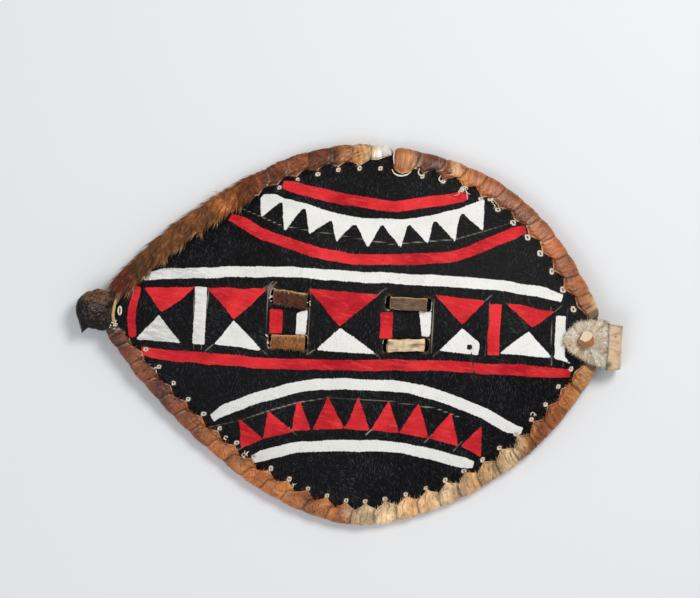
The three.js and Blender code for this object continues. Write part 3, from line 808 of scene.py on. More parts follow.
def paint(x, y):
    """How far each place is inside the red paint and the white paint, in millimetres."""
    wx = x + 0.8 * noise(x / 17, y / 17) + 0.3 * noise(x / 6 + 5, y / 6)
    wy = y + 0.8 * noise(x / 17 + 40, y / 17) + 0.3 * noise(x / 6, y / 6 + 9)
    red = np.max(
        [band(wx, wy, *b) for b in RED_BANDS] + [patch(wx, wy, s) for s in RED_SHAPES + RED_TEETH], axis=0
    )
    white = np.max(
        [band(wx, wy, *b) for b in WHITE_BANDS] + [patch(wx, wy, s) for s in [*WHITE_SHAPES, tooth_band()]],
        axis=0,
    )
    hole = 3.2 - np.maximum(np.abs(x - PUNCTURE[0]), np.abs(y - PUNCTURE[1]))
    crease, _ = line_distance(x, y, CREASE)
    white = np.minimum(np.minimum(white, -hole), crease - 0.7)
    red = np.minimum(red, crease - 1.2)
    return np.clip(red, -9, 9), np.clip(white, -9, 9)


def guides(x, y):
    """Distance to the nearest thin pale guide line."""
    return np.clip(np.min([line_distance(x, y, g)[0] for g in GUIDE_LINES], axis=0), 0, 9)


# ---- The hide panel ----

CELL = 2.1


def tie_corners(name):
    """Heights along Y of a tie's four ends on the face: upper left, upper right, lower left, lower right."""
    tie = TIES[name]
    upper, lower = TIE_TILTS[name]
    half = (tie["to_x"] - tie["from_x"]) / 2
    rise, fall = half * math.tan(math.radians(upper)), half * math.tan(math.radians(lower))
    return tie["upper_y"] - rise, tie["upper_y"] + rise, tie["lower_y"] - fall, tie["lower_y"] + fall


def tie_openings():
    """Middle and half sizes of the four holes under each tie's ends, as far as the thong leaves them open."""
    found = []
    for name, tie in TIES.items():
        half = tie["width"] / 2 + 0.4
        reach = TIE_SPARE[name] + THONG + 0.9
        left = tie["from_x"] + reach / 2 - TIE_SPARE[name]
        right = tie["to_x"] - reach / 2 + TIE_SPARE[name]
        for x, y in zip((left, right, left, right), tie_corners(name)):
            found.append((x, y, reach / 2, half))
    return found


def opening_field(x, y):
    """Positive inside a lacing or tie hole, about a millimetre a unit."""
    inside = np.full(np.shape(x), -1e9)
    for hx, hy, nx, ny, half_n, half_t in HOLES:
        near = (np.abs(x - hx) < 14) & (np.abs(y - hy) < 14)
        along = (x[near] - hx) * nx + (y[near] - hy) * ny
        across = (y[near] - hy) * nx - (x[near] - hx) * ny
        reach = 1 - np.hypot(along / half_n, across / half_t)
        inside[near] = np.maximum(inside[near], reach * half_n)
    for hx, hy, half_x, half_y in tie_openings():
        near = (np.abs(x - hx) < half_x + 9) & (np.abs(y - hy) < half_y + 9)
        reach = 1 - (np.abs((x[near] - hx) / half_x) ** 4 + np.abs((y[near] - hy) / half_y) ** 4) ** 0.25
        inside[near] = np.maximum(inside[near], reach * min(half_x, half_y))
    return inside


def outline_field(x, y):
    """Positive inside the panel's outline."""
    upper = curve_y(UPPER_EDGE, x) - y
    lower = y - curve_y(LOWER_EDGE, x)
    rise = np.abs(curve_y(UPPER_EDGE, x + 1) - curve_y(UPPER_EDGE, x - 1)) / 2
    fall = np.abs(curve_y(LOWER_EDGE, x + 1) - curve_y(LOWER_EDGE, x - 1)) / 2
    depth = np.minimum(upper / np.hypot(1, rise), lower / np.hypot(1, fall))
    return np.minimum(depth, np.minimum(x - LEFT_TIP[0], RIGHT_TIP[0] - x))


def panel_field(x, y):
    """Positive inside the hide, which ends at its outline and at its holes."""
    return np.minimum(outline_field(x, y), -opening_field(x, y))


def make_panel():
    """The whole hide with its holes, as a fine grid snapped to the outline, with a face, a back and walls."""
    across = np.arange(-280, 287, CELL)
    down = np.arange(-213, 197, CELL)
    x, y = np.meshgrid(across, down, indexing="ij")
    field = panel_field(x, y)
    rows, columns = x.shape
    quads = grid_faces(rows, columns)
    kept = quads[field.ravel()[quads].mean(1) > 0]
    fx, fy = x.ravel().copy(), y.ravel().copy()
    count = np.bincount(kept.ravel(), minlength=fx.size)
    edge_pairs = np.vstack([kept[:, [k, (k + 1) % 4]] for k in range(4)])
    key = edge_pairs.min(1) * fx.size + edge_pairs.max(1)
    _, first, times = np.unique(key, return_index=True, return_counts=True)
    border = edge_pairs[first[times == 1]]
    rim = np.unique(border)
    for _ in range(6):
        rx, ry = fx[rim], fy[rim]
        here = panel_field(rx, ry)
        gx = (panel_field(rx + 0.4, ry) - panel_field(rx - 0.4, ry)) / 0.8
        gy = (panel_field(rx, ry + 0.4) - panel_field(rx, ry - 0.4)) / 0.8
        steep = gx * gx + gy * gy + 1e-6
        step = np.clip(here / steep, -1.2, 1.2)
        fx[rim] -= step * gx * 0.7
        fy[rim] -= step * gy * 0.7
    used = np.flatnonzero(count)
    number = np.full(fx.size, -1)
    number[used] = np.arange(len(used))
    fx, fy = fx[used], fy[used]
    top = number[kept]
    height = panel_height(fx, fy)
    depth = np.maximum(outline_field(fx, fy), 0)
    opening = -opening_field(fx, fy)
    near_opening = np.maximum(opening, 0)
    ripple = 0.5 * noise(fx / 34, fy / 34) + 0.22 * noise(fx / 12, fy / 12 + 7)
    crease, _ = line_distance(fx, fy, CREASE)
    sink = 0.9 * np.exp(-((crease / 2.2) ** 2))
    sink += 0.7 * np.exp(-(((fx - PUNCTURE[0]) ** 2 + (fy - PUNCTURE[1]) ** 2) / 14))
    swell = ripple * smooth(depth / 10) * smooth(opening / 6)
    low = height - HIDE / 2 + 0.4 * ripple * smooth(depth / 10) * smooth(opening / 6)
    high = height + HIDE / 2 + swell - sink
    # skin is a pale ring round each hole: partly the cut edge, partly painted light showing through the hole;
    # weaker beside the ties.
    skin = np.exp(-((near_opening / 0.45) ** 2)) * (1 + 0.35 * noise(fx / 3, fy / 3))
    by_tie = (np.abs(fy) < 42) & (fx > -100) & (fx < 96)
    skin = np.where(by_tie, skin * (0.55 + 0.35 * noise(fx / 5 + 7, fy / 5)), skin)
    lx, ly = fx.copy(), fy.copy()
    for hx, hy, *_ in HOLES:
        near = (np.abs(fx - hx) < 9) & (np.abs(fy - hy) < 9)
        far = np.hypot(fx[near] - hx, fy[near] - hy)
        pull = 1.7 * np.exp(-((near_opening[near] / 1.5) ** 2)) / np.maximum(far, 1)
        lx[near] += (hx - fx[near]) * pull
        ly[near] += (hy - fy[near]) * pull
    points = np.vstack([np.stack([fx, fy, high], -1), np.stack([lx, ly, low], -1)])
    n = len(fx)
    a, b = number[border[:, 0]], number[border[:, 1]]
    walls = np.stack([b, a, a + n, b + n], -1)
    faces = [top, top[:, ::-1] + n, walls]
    kinds = np.concatenate([np.zeros(len(top)), np.ones(len(top)), np.full(len(walls), 2)])
    red, white = paint(fx, fy)
    guide = guides(fx, fy)
    strength = 0.5 + 0.5 * noise(fx / 23, fy / 23 + 3)
    # Painted shade: this grows towards the left end, where the panel turns from the light, and greys the
    # white paint there.
    grey = 0.4 * smooth((-150 - fx) / 30) + 0.12 * smooth((-20 - fx) / 90)
    worn = np.exp(-((crease / 3) ** 2)) * 0.1 + 0.3 * np.exp(-((near_opening / 1.2) ** 2))

    def both(v):
        return np.concatenate([v, v])

    values = {
        "paint_red": both(red),
        "paint_white": both(white),
        "guide": both(guide),
        "guide_strength": both(np.clip(strength, 0.1, 1)),
        "painted_left_shade": both(grey),
        "worn": both(worn),
        "skin": both(skin),
    }
    materials = [painted_hair(), flesh_side(), cut_hide()]
    return make_piece("panel_looks", points, faces, materials, ["hide_panel"], values, kinds)


# ---- The lacing round the edge ----

# Stops along X with the strip's colour. On the upper left strip, the orange-tan stop at -16 and the light tan
# at 6 are painted highlight.
STRIP_TINTS = {
    "binding_upper_left": [
        (-272, RED_BROWN), (-243, RED_BROWN), (-232, TAN_HAIR), (-160, TAN_HAIR), (-140, ORANGE_TAN),
        (-126, BROWN), (-100, RED_BROWN), (-60, BROWN), (-30, RED_BROWN), (-16, ORANGE_TAN),
        (6, LIGHT_TAN), (13, CREAM), (20, WHITE_HAIR), (40, WHITE_HAIR),
    ],
    "binding_upper_right": [
        (36, CARAMEL), (56, ORANGE_TAN), (64, BROWN), (80, RED_BROWN), (98, BROWN), (106, LIGHT_TAN),
        (113, ORANGE_TAN), (135, CARAMEL), (165, BROWN), (190, CARAMEL), (215, CARAMEL), (240, BROWN),
        (256, CARAMEL), (264, LIGHT_TAN), (275, CREAM),
    ],
    "binding_lower": [
        (-272, RED_BROWN), (-245, RED_BROWN), (-235, BROWN), (-200, RED_BROWN), (-175, BROWN),
        (-150, CARAMEL), (-108, ORANGE_TAN), (-95, CARAMEL), (-60, ORANGE_TAN), (-32, BROWN),
        (-14, ORANGE_TAN), (0, CARAMEL), (22, CREAM), (60, CREAM), (80, LIGHT_TAN), (112, CREAM),
        (150, LIGHT_TAN), (190, CREAM), (204, ORANGE_TAN), (214, BROWN), (236, CARAMEL),
        (246, ORANGE_TAN), (275, LIGHT_TAN),
    ],
}
# Stops along X: reach between two turns, reach at a hole, slant of a turn, lie of the hair in degrees.
STRIP_STYLE = {
    "binding_upper_left": [
        (-270, 9, 10, 0.1, 10), (-240, 10, 15, 0.2, 15), (-110, 10, 16, 0.3, 20),
        (-20, 9.5, 16, 0.3, 55), (8, 9.5, 17, 0.1, 5), (14, 8.5, 14, 0, 0), (36, 3.5, 4, 0, 0),
    ],
    "binding_upper_right": [
        (37, 19, 22, 0, 10), (58, 17, 21, 0.1, 10), (68, 8, 17, 0.35, 35), (115, 8.5, 17, 0.35, 40),
        (150, 11, 17, 0.25, 8), (245, 11, 17, 0.25, 5), (275, 9, 11, 0, 5),
    ],
    "binding_lower": [
        (-270, 9, 10, 0.2, 60), (-238, 9.5, 14, 0.4, 62), (-60, 9.5, 17.5, 0.45, 58),
        (0, 9, 18.5, 0.3, 25), (30, 9, 18.5, 0.15, 0), (200, 9, 18.5, 0.15, 5), (240, 9.5, 16, 0.2, 20),
        (275, 9, 11, 0, 10),
    ],
}
# How far each strip runs on before its first turn and after its last, in turns.
STRIP_ENDS = {
    "binding_upper_left": (0.5, 0.0), "binding_upper_right": (0.0, 0.35), "binding_lower": (0.45, 0.4)
}


def style_along(name, x, field):
    """One field of a strip's style at x: 1 and 2 are its reaches, 3 its slant, 4 the lie of its hair."""
    stops = STRIP_STYLE[name]
    return np.interp(x, [s[0] for s in stops], [s[field] for s in stops])


TURN_STEPS = 22
SECTION_STEPS = 26


def spread_resample(points, count):
    """Smooth curves through control points that lie along the first axis."""
    p = np.asarray(points, float)
    n = len(p)
    t = np.linspace(0, n - 1, count)
    k = np.minimum(t.astype(int), n - 2)
    f = (t - k).reshape(-1, *[1] * (p.ndim - 1))
    a, b, c, d = (p[np.clip(k + o, 0, n - 1)] for o in (-1, 0, 1, 2))
    return spline(a, b, c, d, f)


def tint_along(stops, x):
    """The colour at each x, between named stops."""
    xs = [s[0] for s in stops]
    return np.stack([np.interp(x, xs, [s[1][k] for s in stops]) for k in range(3)], -1)


def place_on_strip(path, turn, out, offset, valley):
    """Points beside the panel's edge: out is the distance outward, offset the height over the hide's middle.
    Further inward than valley, each turn narrows towards its own hole."""
    inset = np.maximum(-out, 0)
    narrow = 1 - 0.62 * smooth((inset - valley) / 9)
    whole = np.clip(np.floor(turn), 0, path.turns - 1)
    gathered = whole + 0.5 + (turn - whole - 0.5) * narrow
    x, y, nx, ny = path.at(gathered)
    px, py = x + nx * out, y + ny * out
    base = np.where(out < 0, panel_height(px, py), side_height(x))
    return np.stack([px, py, base + offset], -1)


def strip_section(name, path, turn, rng):
    """Distance outward and height of a strip's outer surface, from its upper lip round to its lower one."""
    whole = np.clip(np.floor(turn), 0, path.turns - 1)
    phase = np.clip(turn - whole, 0, 1)
    peak = 1 - np.abs(2 * phase - 1)
    edge_x = path.at(turn)[0]
    valley = style_along(name, edge_x, 1)
    deep = style_along(name, edge_x, 2)
    jitter = rng.normal(0, 1, (path.turns + 1, 3))[whole.astype(int)]
    reach = valley + (deep - valley) * peak**0.85 + jitter[:, 0] * 0.7 * peak
    swell = 0.8 + 0.17 * np.sin(math.pi * phase) ** 0.6 + jitter[:, 1] * 0.02
    overrun = np.maximum(-turn, turn - path.turns)
    swell = swell * (1 - 0.35 * smooth(overrun / 0.4))
    dive = 2.4 * smooth((peak - 0.6) / 0.4)
    zero = np.zeros_like(phase)
    shoulder = np.minimum(ROLL_SHOULDER, reach * 0.62)
    controls = [
        (-reach, 2.9 - dive),
        (-reach + 2.2, 3.3 + zero),
        (-reach * 0.45 - shoulder * 0.55, (LIP_HALF_HEIGHT + ROLL_HALF_HEIGHT * 0.8 * swell) / 2 + 0.4),
        (-shoulder, ROLL_HALF_HEIGHT * 0.82 * swell),
        (zero, ROLL_HALF_HEIGHT * swell),
        (ROLL_OUT * 0.72 * swell, ROLL_HALF_HEIGHT * 0.68 * swell),
        (ROLL_OUT * swell, zero),
        (ROLL_OUT * 0.7 * swell, -ROLL_HALF_HEIGHT * 0.68 * swell),
        (zero, -ROLL_HALF_HEIGHT * swell),
        (-shoulder, -ROLL_HALF_HEIGHT * 0.82 * swell),
        (-reach * 0.45 - shoulder * 0.55, -(LIP_HALF_HEIGHT + ROLL_HALF_HEIGHT * 0.8 * swell) / 2 - 0.4),
        (-reach + 2.2, -3.3 + zero),
        (-reach, -2.9 + dive),
    ]
    curve = spread_resample(np.stack([np.stack(c, -1) for c in controls]), SECTION_STEPS)
    return curve.transpose(1, 0, 2), phase, reach, valley


def make_binding(name, seed):
    """A strip of hide laced over the edge: each turn swells over the edge and gathers into its hole."""
    rng = np.random.default_rng(seed)
    path = PATHS[name]
    before, after = STRIP_ENDS[name]
    turn = np.arange(round(-before * TURN_STEPS), round((path.turns + after) * TURN_STEPS) + 1) / TURN_STEPS
    section, phase, reach, valley = strip_section(name, path, turn, rng)
    edge_x = path.at(turn)[0]
    step = np.gradient(section, axis=1)
    normal = np.stack([-step[..., 1], step[..., 0]], -1)
    normal /= np.linalg.norm(normal, axis=-1, keepdims=True) + 1e-9
    normal *= np.sign((normal[:, SECTION_STEPS // 2, 0] > 0) - 0.5)[:, None, None]
    travel = np.cumsum(np.linalg.norm(np.diff(section, axis=1, prepend=section[:, :1]), axis=2), axis=1)
    around = np.linspace(-1, 1, SECTION_STEPS)[None]
    part = np.clip(turn.astype(int), 0, path.turns - 1)
    offsets = rng.random((path.turns + 1, 2)) * 60
    lie = np.radians(
        style_along(name, path.at(np.arange(path.turns) + 0.5)[0], 4) + rng.normal(0, 7, path.turns)
    )[part]
    local = (turn - part - 0.5) * TURN_PITCH
    cos, sin = np.cos(lie)[:, None], np.sin(lie)[:, None]
    flow_x = local[:, None] * cos + travel * sin + offsets[part][:, :1]
    flow_y = travel * cos - local[:, None] * sin + offsets[part][:, 1:]
    near_lip = smooth(np.abs(around) * 1.3)
    folds = np.cos(2 * math.pi * (flow_x / 6.3 + 0.35 * noise(flow_x / 9, flow_y / 16)))
    folds = folds + 0.6 * np.cos(2 * math.pi * flow_x / 3.4 + 2 * noise(flow_x / 7, flow_y / 14))
    fade = np.sin(math.pi * np.clip(phase, 0.04, 0.96))[:, None] ** 0.5
    relief = folds * (0.22 + 0.3 * near_lip) * fade + 0.55 * noise(turn[:, None] * 1.7, around * 2.2 + seed)
    relief *= smooth((1 - np.abs(around)) * 6) * 0.8 + 0.2
    to_end = np.minimum(turn - turn[0], turn[-1] - turn) * TURN_PITCH / 7
    rounded = (0.5 + 0.5 * np.sqrt(1 - (1 - np.clip(to_end, 0, 1)) ** 2))[:, None, None]
    moved = section + normal * relief[..., None]
    moved = np.array([-3.0, 0]) + (moved - np.array([-3.0, 0])) * rounded
    slant = style_along(name, edge_x, 3)[:, None] * np.cos(math.pi / 2 * around) * path.out
    inside = (turn > 0.3) & (turn < path.turns - 0.3)
    slant = slant * smooth(np.minimum(turn - turn[0], turn[-1] - turn) / 1.2)[:, None] * inside[:, None]
    skew = turn[:, None] + slant
    outer = place_on_strip(
        path, turn[:, None] * np.ones_like(slant), moved[..., 0], moved[..., 1], valley[:, None]
    )
    twisted = place_on_strip(path, skew, moved[..., 0], moved[..., 1], valley[:, None])
    outer = np.where((moved[..., :1] > -valley[:, None, None]), twisted, outer)
    outer[..., 2] = np.maximum(outer[..., 2], 0.15)
    cover = HIDE / 2 + 0.35
    lip = ((reach - 0.2) * rounded[:, 0, 0])[:, None]
    q = np.linspace(0, 1, SECTION_STEPS)[None]
    inner_out = np.where(q < 0.45, -lip * (1 - q / 0.45) + 0.4 * q / 0.45, 0.4)
    inner_out = np.where(q > 0.55, 0.4 - (lip + 0.4) * (q - 0.55) / 0.45, inner_out)
    inner_height = np.clip((0.5 - q) / 0.05, -1, 1) * cover * np.ones_like(inner_out)
    inner = place_on_strip(
        path, turn[:, None] * np.ones_like(inner_out), inner_out, inner_height, valley[:, None]
    )
    rings = np.concatenate([outer, inner[:, ::-1]], axis=1)
    rows, columns = rings.shape[:2]
    points = rings.reshape(-1, 3)
    quads = grid_faces(rows, columns, close_columns=True)
    side = outward(points, quads)
    flipped = side[0][1] != quads[0][1]
    i = np.arange(SECTION_STEPS - 1)
    first = np.stack([i, i + 1, columns - 2 - i, columns - 1 - i], -1)
    last = first[:, ::-1] + (rows - 1) * columns
    ends = np.vstack([first, last])
    faces = np.vstack([side, ends[:, ::-1] if flipped else ends])
    tint = tint_along(STRIP_TINTS[name], points[:, 0] + 5 * noise(points[:, 0] / 6, points[:, 1] / 6))
    mottle = 1 + 0.38 * noise(points[:, 0] / 9, points[:, 1] / 9)
    mottle += 0.16 * rng.normal(0, 1, path.turns)[np.repeat(part, columns)]
    tint = tint * np.clip(mottle, 0.4, 1.5)[:, None]

    def both(v):
        return np.concatenate([v, v[:, ::-1]], axis=1).ravel()

    cut_side = (
        (rng.random(path.turns) < 0.75)[part][:, None] * np.exp(-(((phase - 0.06) / 0.035) ** 2))[:, None]
    )
    cut_edge = both(cut_side * (0.15 + 0.85 * smooth(np.abs(around) * 1.6 - 0.3)))[:, None]
    lip_edge = smooth((np.abs(around) - 0.86) / 0.14) * smooth((0.3 - np.abs(phase - 0.5))[:, None] * 9)
    pale = np.clip(cut_edge[:, 0] * 0.9 + both(lip_edge) * 0.75, 0, 1)[:, None]
    # Painted shade: the tint darkens in the grooves between turns and in the hollows of the folds.
    groove_shade = (
        both(np.exp(-((np.minimum(phase, 1 - phase) / 0.05) ** 2))[:, None] * np.ones_like(around))[:, None]
    )
    fold_shade = both((1 - smooth(folds * 0.5 + 0.9)) * near_lip * fade)[:, None]
    tint = tint * (1 - 0.35 * fold_shade) * (1 - 0.75 * groove_shade * (1 - pale))
    tint = tint * (1 - pale) + np.array(srgb(232, 206, 172)) * pale
    flow = np.stack([both(flow_x), both(flow_y), np.zeros(len(points))], -1)
    material = tinted_hair(
        name + "_hair", (1.0, 0.08, 1.0), roughness=0.34, bump=0.45, spread=0.38, specular=0.55
    )
    piece = make_piece(
        name + "_looks", points, [faces], [material], [name], {"tint": tint, "flow": flow}
    )
    outer_quads = side[(np.arange(len(side)) % columns) < SECTION_STEPS - 1]
    return piece, points, outer_quads, tint, material


def strip_hair(name, strip, count, seed, from_x, to_x, length, way, lift, width=0.45, stray=0.3):
    """Hairs on part of a strip, along a fixed way, or towards the panel's middle if way is None."""
    _, points, quads, tint, material = strip
    rng = np.random.default_rng(seed)
    x = points[quads[:, 0], 0]
    quads = quads[(x > from_x) & (x < to_x)]
    place, normal, pick, _ = scatter(points, quads, count * 2, rng)
    keep = (normal[:, 2] > -0.2) & (place[:, 2] > 2.5)
    place, normal, pick = place[keep][:count], normal[keep][:count], pick[keep][:count]
    inward = -np.stack([place[:, 0] * 0.45, place[:, 1], np.zeros(len(place))], -1)
    inward /= np.linalg.norm(inward, axis=1, keepdims=True)
    along = np.stack([inward[:, 1], -inward[:, 0], np.zeros(len(place))], -1)
    direction = inward if way is None else np.tile(np.array([*way, 0.0]), (len(place), 1))
    lock = noise(place[:, 0] / 7, place[:, 1] / 9)
    direction = direction + along * (0.9 * stray * lock + rng.normal(0, stray * 0.5, len(place)))[:, None]
    direction = turned_along(direction, normal)
    long = rng.uniform(*length, len(place))
    shade = np.clip(
        rng.normal(1.0, 0.28, len(place)) + 0.55 * noise(place[:, 0] / 4, place[:, 1] / 5 + 3), 0.25, 1.9
    )
    colour = per_strand(tint[quads[pick][:, 0]] * shade[:, None])
    high = lift * (1 + 0.8 * lock)
    hair = strands(place, direction, normal, long, rng.uniform(0.7, 1.3, len(place)) * width, high)
    make_hair(name, hair, material, colour, (1, 0), rng)


# ---- The stick and its ties ----


def stick_y(x):
    """The stick's middle line, which slants a little from tip to tip."""
    from_start = np.asarray(x, float) - STICK["from_x"]
    slant = (STICK["right_y"] - STICK["left_y"]) * from_start / (STICK["to_x"] - STICK["from_x"])
    return STICK["left_y"] + slant


def make_stick():
    """A whittled rod, a little thicker where the hand grips it."""
    length = STICK["to_x"] - STICK["from_x"]
    t = np.concatenate([[0, 0.002, 0.006], np.linspace(0.012, 0.988, 150), [0.994, 0.998, 1]])
    angle = np.linspace(0, 2 * math.pi, 40, endpoint=False)
    radius = (
        STICK["end_radius"] + (STICK["grip_radius"] - STICK["end_radius"]) * smooth(1 - np.abs(t - 0.5) / 0.3)
    )
    radius = radius - 2 * (1 - smooth(np.minimum(t, 1 - t) / 0.006))
    cuts = np.cos(7 * (angle[None] + 0.5 * noise(t[:, None] * 9, 3))) * 0.16
    cuts = cuts + 0.22 * noise(t[:, None] * 40, angle[None] * 1.3) * np.sin(angle[None] / 2)
    r = radius[:, None] - 0.15 + cuts
    x = STICK["from_x"] + t * length
    ring = np.stack(
        [
            np.broadcast_to(x[:, None], r.shape),
            stick_y(x)[:, None] + r * np.cos(angle),
            STICK["z"] + r * np.sin(angle),
        ],
        -1,
    )
    points, faces = tube(ring)
    flow = np.stack([points[:, 0], points[:, 1], points[:, 2]], -1)
    wood = whittled_wood("stick_wood", srgb(92, 58, 32), srgb(158, 112, 68), along=(0.03, 0.5, 0.5))
    values = {"flow": flow, "cut": np.zeros(len(points))}
    return make_piece("stick_looks", points, faces, [wood], ["back_stick"], values)


def tie_stations(name):
    """Points, width directions, thickness directions and the part of a tie each belongs to."""
    tie = TIES[name]
    half = THONG / 2
    in_x = (tie["from_x"] + half, tie["to_x"] - half)
    upper_left, upper_right, lower_left, lower_right = tie_corners(name)
    stations = []

    def put(x, y, z, turn, facing, part):
        stations.append(([x, y, z], [math.sin(turn), math.cos(turn), 0], facing, part))

    def bridge(from_x, from_y, to_x, to_y, part):
        for t in (0, 0.12, 0.5, 0.88, 1):
            x, y = from_x + (to_x - from_x) * t, from_y + (to_y - from_y) * t
            rise = THONG_RISE * math.sin(math.pi * min(max(t, 0.04), 0.96)) ** 0.5
            lean = (t > 0.5) - (t < 0.5) if t in (0, 1) else 0
            lean *= 1 if to_x > from_x else -1
            facing = np.array([lean, 0, 1.0])
            z = float(panel_height(x, y)) + HIDE / 2 + half + 0.8 + rise
            put(x, y, z, 0, facing / np.linalg.norm(facing), part)

    def sling(x, from_y, to_y, lean, part):
        radius = STICK["grip_radius"] + 0.3 + half
        centre = float(stick_y(x))
        side = 1 if from_y > to_y else -1
        quarter = math.pi / 2

        def leg(y, sign, t):
            top = float(panel_height(x, y)) - HIDE / 2 - 2
            turn = quarter * float(smooth((t - 0.1) / 0.8))
            end_y = centre + sign * radius
            facing = [lean * math.cos(turn), sign * math.sin(turn), 0]
            put(x, y + (end_y - y) * t**1.3, top + (STICK["z"] - top) * t, -lean * sign * turn, facing, part)

        times = (0, 0.3, 0.55, 0.8, 1)
        for t in times:
            leg(from_y, side, t)
        for i in range(1, 6):
            angle = math.pi * i / 6
            facing = [0, side * math.cos(angle), -math.sin(angle)]
            put(
                x,
                centre + facing[1] * radius,
                STICK["z"] + facing[2] * radius,
                -lean * side * quarter,
                facing,
                part,
            )
        for t in reversed(times):
            leg(to_y, -side, t)

    bridge(in_x[0], upper_left, in_x[1], upper_right, 0)
    sling(in_x[1], upper_right, lower_right, 1, 1)
    bridge(in_x[1], lower_right, in_x[0], lower_left, 2)
    sling(in_x[0], lower_left, upper_left, -1, 3)
    return stations


TIE_TINTS = {
    "stick_tie_left": (srgb(104, 56, 30), srgb(172, 112, 58)),
    "stick_tie_right": (srgb(104, 74, 50), srgb(226, 200, 160)),
}
THONG_BACK = srgb(176, 138, 92)
PALE_CUT = srgb(228, 208, 178)


def make_tie(name, seed):
    """A loop of hide thong: a bridge over the face above and below the stick, and two crossings under it."""
    tie = TIES[name]
    rng = np.random.default_rng(seed)
    stations = tie_stations(name)
    widths, held = [], np.array(stations[0][1])
    for _, width, _, _ in stations:
        held = np.array(width) * (1 if np.dot(held, width) >= 0 else -1)
        widths.append(held)
    centre = np.array([s[0] for s in stations], float)
    facing = np.array([s[2] for s in stations], float)
    part = np.array([s[3] for s in stations])
    fine = 9
    count = len(stations) * fine
    path = resample(centre, count, closed=True)
    across = resample(np.array(widths), count, closed=True)
    out = resample(facing, count, closed=True)
    across /= np.linalg.norm(across, axis=1, keepdims=True)
    out /= np.linalg.norm(out, axis=1, keepdims=True)
    which = part[np.minimum(np.arange(count) // fine, len(part) - 1)][:, None]
    run = np.concatenate([[0], np.cumsum(np.linalg.norm(np.diff(path, axis=0), axis=1))])[:, None]
    share = np.clip((path[:, :1] - tie["from_x"]) / (tie["to_x"] - tie["from_x"]), 0, 1)
    angle = np.linspace(0, 2 * math.pi, 32, endpoint=False)
    w = np.sign(np.cos(angle)) * np.abs(np.cos(angle)) ** 0.35
    h = np.sign(np.sin(angle)) * np.abs(np.sin(angle)) ** 0.35
    w, h = w[None], h[None]
    up_side = w * np.sign(across[:, 1:2] + 1e-6)
    half_width = (
        tie["width"] / 2 - 0.2 + 0.6 * noise(run / 9, seed * 1.7) + 0.3 * noise(run / 2.5, seed + w * 0.6)
    )
    curl = 0.5 * w**2 - 0.25 + 0.25 * np.cos(w * 5 + run / 11) + 0.45 * noise(run / 4, w * 2.5 + seed)
    rolled = (which == 2) & (name == "stick_tie_right")
    fold_at = 0.55 - 0.75 * share
    fold = np.exp(-(((up_side - fold_at) / 0.16) ** 2)) * rolled
    curl = np.where(rolled, 1.5 * (1 - w**2) - 0.9 * fold, curl) * (which % 2 == 0)
    ring = (
        path[:, None]
        + across[:, None] * (w * half_width)[..., None]
        + out[:, None] * (h * THONG / 2 + curl * smooth((h + 1) / 2))[..., None]
    )
    points, faces = tube(ring, closed=True)
    tints = np.stack([TIE_TINTS[name][0], THONG_BACK, TIE_TINTS[name][1], THONG_BACK])
    tint = tints[which[:, 0]][:, None] * np.ones((1, len(angle), 1))
    tint = tint * (1 + 0.3 * noise(run / 4, w * 2 + seed) + 0.18 * noise(run / 1.2, w * 6))[..., None]
    on_face = smooth((1 - np.abs(2 * share - 1)) * 6) * (which % 2 == 0)
    # Painted highlight: the upper edge of each bridge on the face, which faces the light, is lit gold.
    top_edge_highlight = smooth((up_side - 0.82) / 0.16) * on_face
    frayed = smooth(np.abs(2 * share - 1) * 7 - 6.1) * (0.5 + 0.5 * noise(run / 2 + 4, w * 3))
    frayed = frayed * (0.9 if name == "stick_tie_right" else 0.6) * (which % 2 == 0)
    sides = smooth((np.abs(w) - 0.93) / 0.07) * (0.25 + 0.5 * smooth(noise(run / 5, 2.5) + 0.4))
    for amount, pale in ((sides, PALE_CUT), (top_edge_highlight * 0.9, srgb(226, 186, 130)), (frayed, PALE_CUT)):
        amount = np.clip(amount, 0, 1)[..., None]
        tint = tint * (1 - amount) + np.array(pale) * amount
    # Painted shade: the right tie's rolled bridge darkens along the crease of its fold.
    tint = tint * (1 - 0.75 * fold[..., None])
    flow = np.stack([run + rng.random() * 50 + 0 * w, w * half_width, h + 0 * run], -1)
    if name == "stick_tie_right":
        flow = flow[..., [1, 0, 2]]
    material = tinted_hair(name + "_hide", (1.2, 0.14, 0.3), roughness=0.5, bump=0.4, spread=0.45)
    values = {"tint": tint.reshape(-1, 3), "flow": flow.reshape(-1, 3)}
    make_piece(name + "_looks", points, faces, [material], [name], values)
    if name == "stick_tie_right":
        return
    number = np.arange(count * len(angle)).reshape(count, len(angle))
    top = (on_face > 0.5) & (h + 0 * run > 0.3)
    quads = faces[0][np.isin(faces[0][:, 0], number[top])]
    place, normal, pick, _ = scatter(points, quads, 1500, rng)
    way = turned_along(np.array([0.18, -1, 0]) + rng.normal(0, 0.22, (len(place), 3)), normal)
    shade = np.clip(rng.normal(1.05, 0.35, len(place)), 0.3, 2)[:, None]
    colour = per_strand(tint.reshape(-1, 3)[quads[pick][:, 0]] * shade)
    long, width = rng.uniform(2.5, 5, len(place)), rng.uniform(0.35, 0.6, len(place))
    hair = strands(place, way, normal, long, width, 0.5)
    make_hair(name + "_hair", hair, material, colour, (1, 0), rng)


# ---- The fur cap and its lashing ----


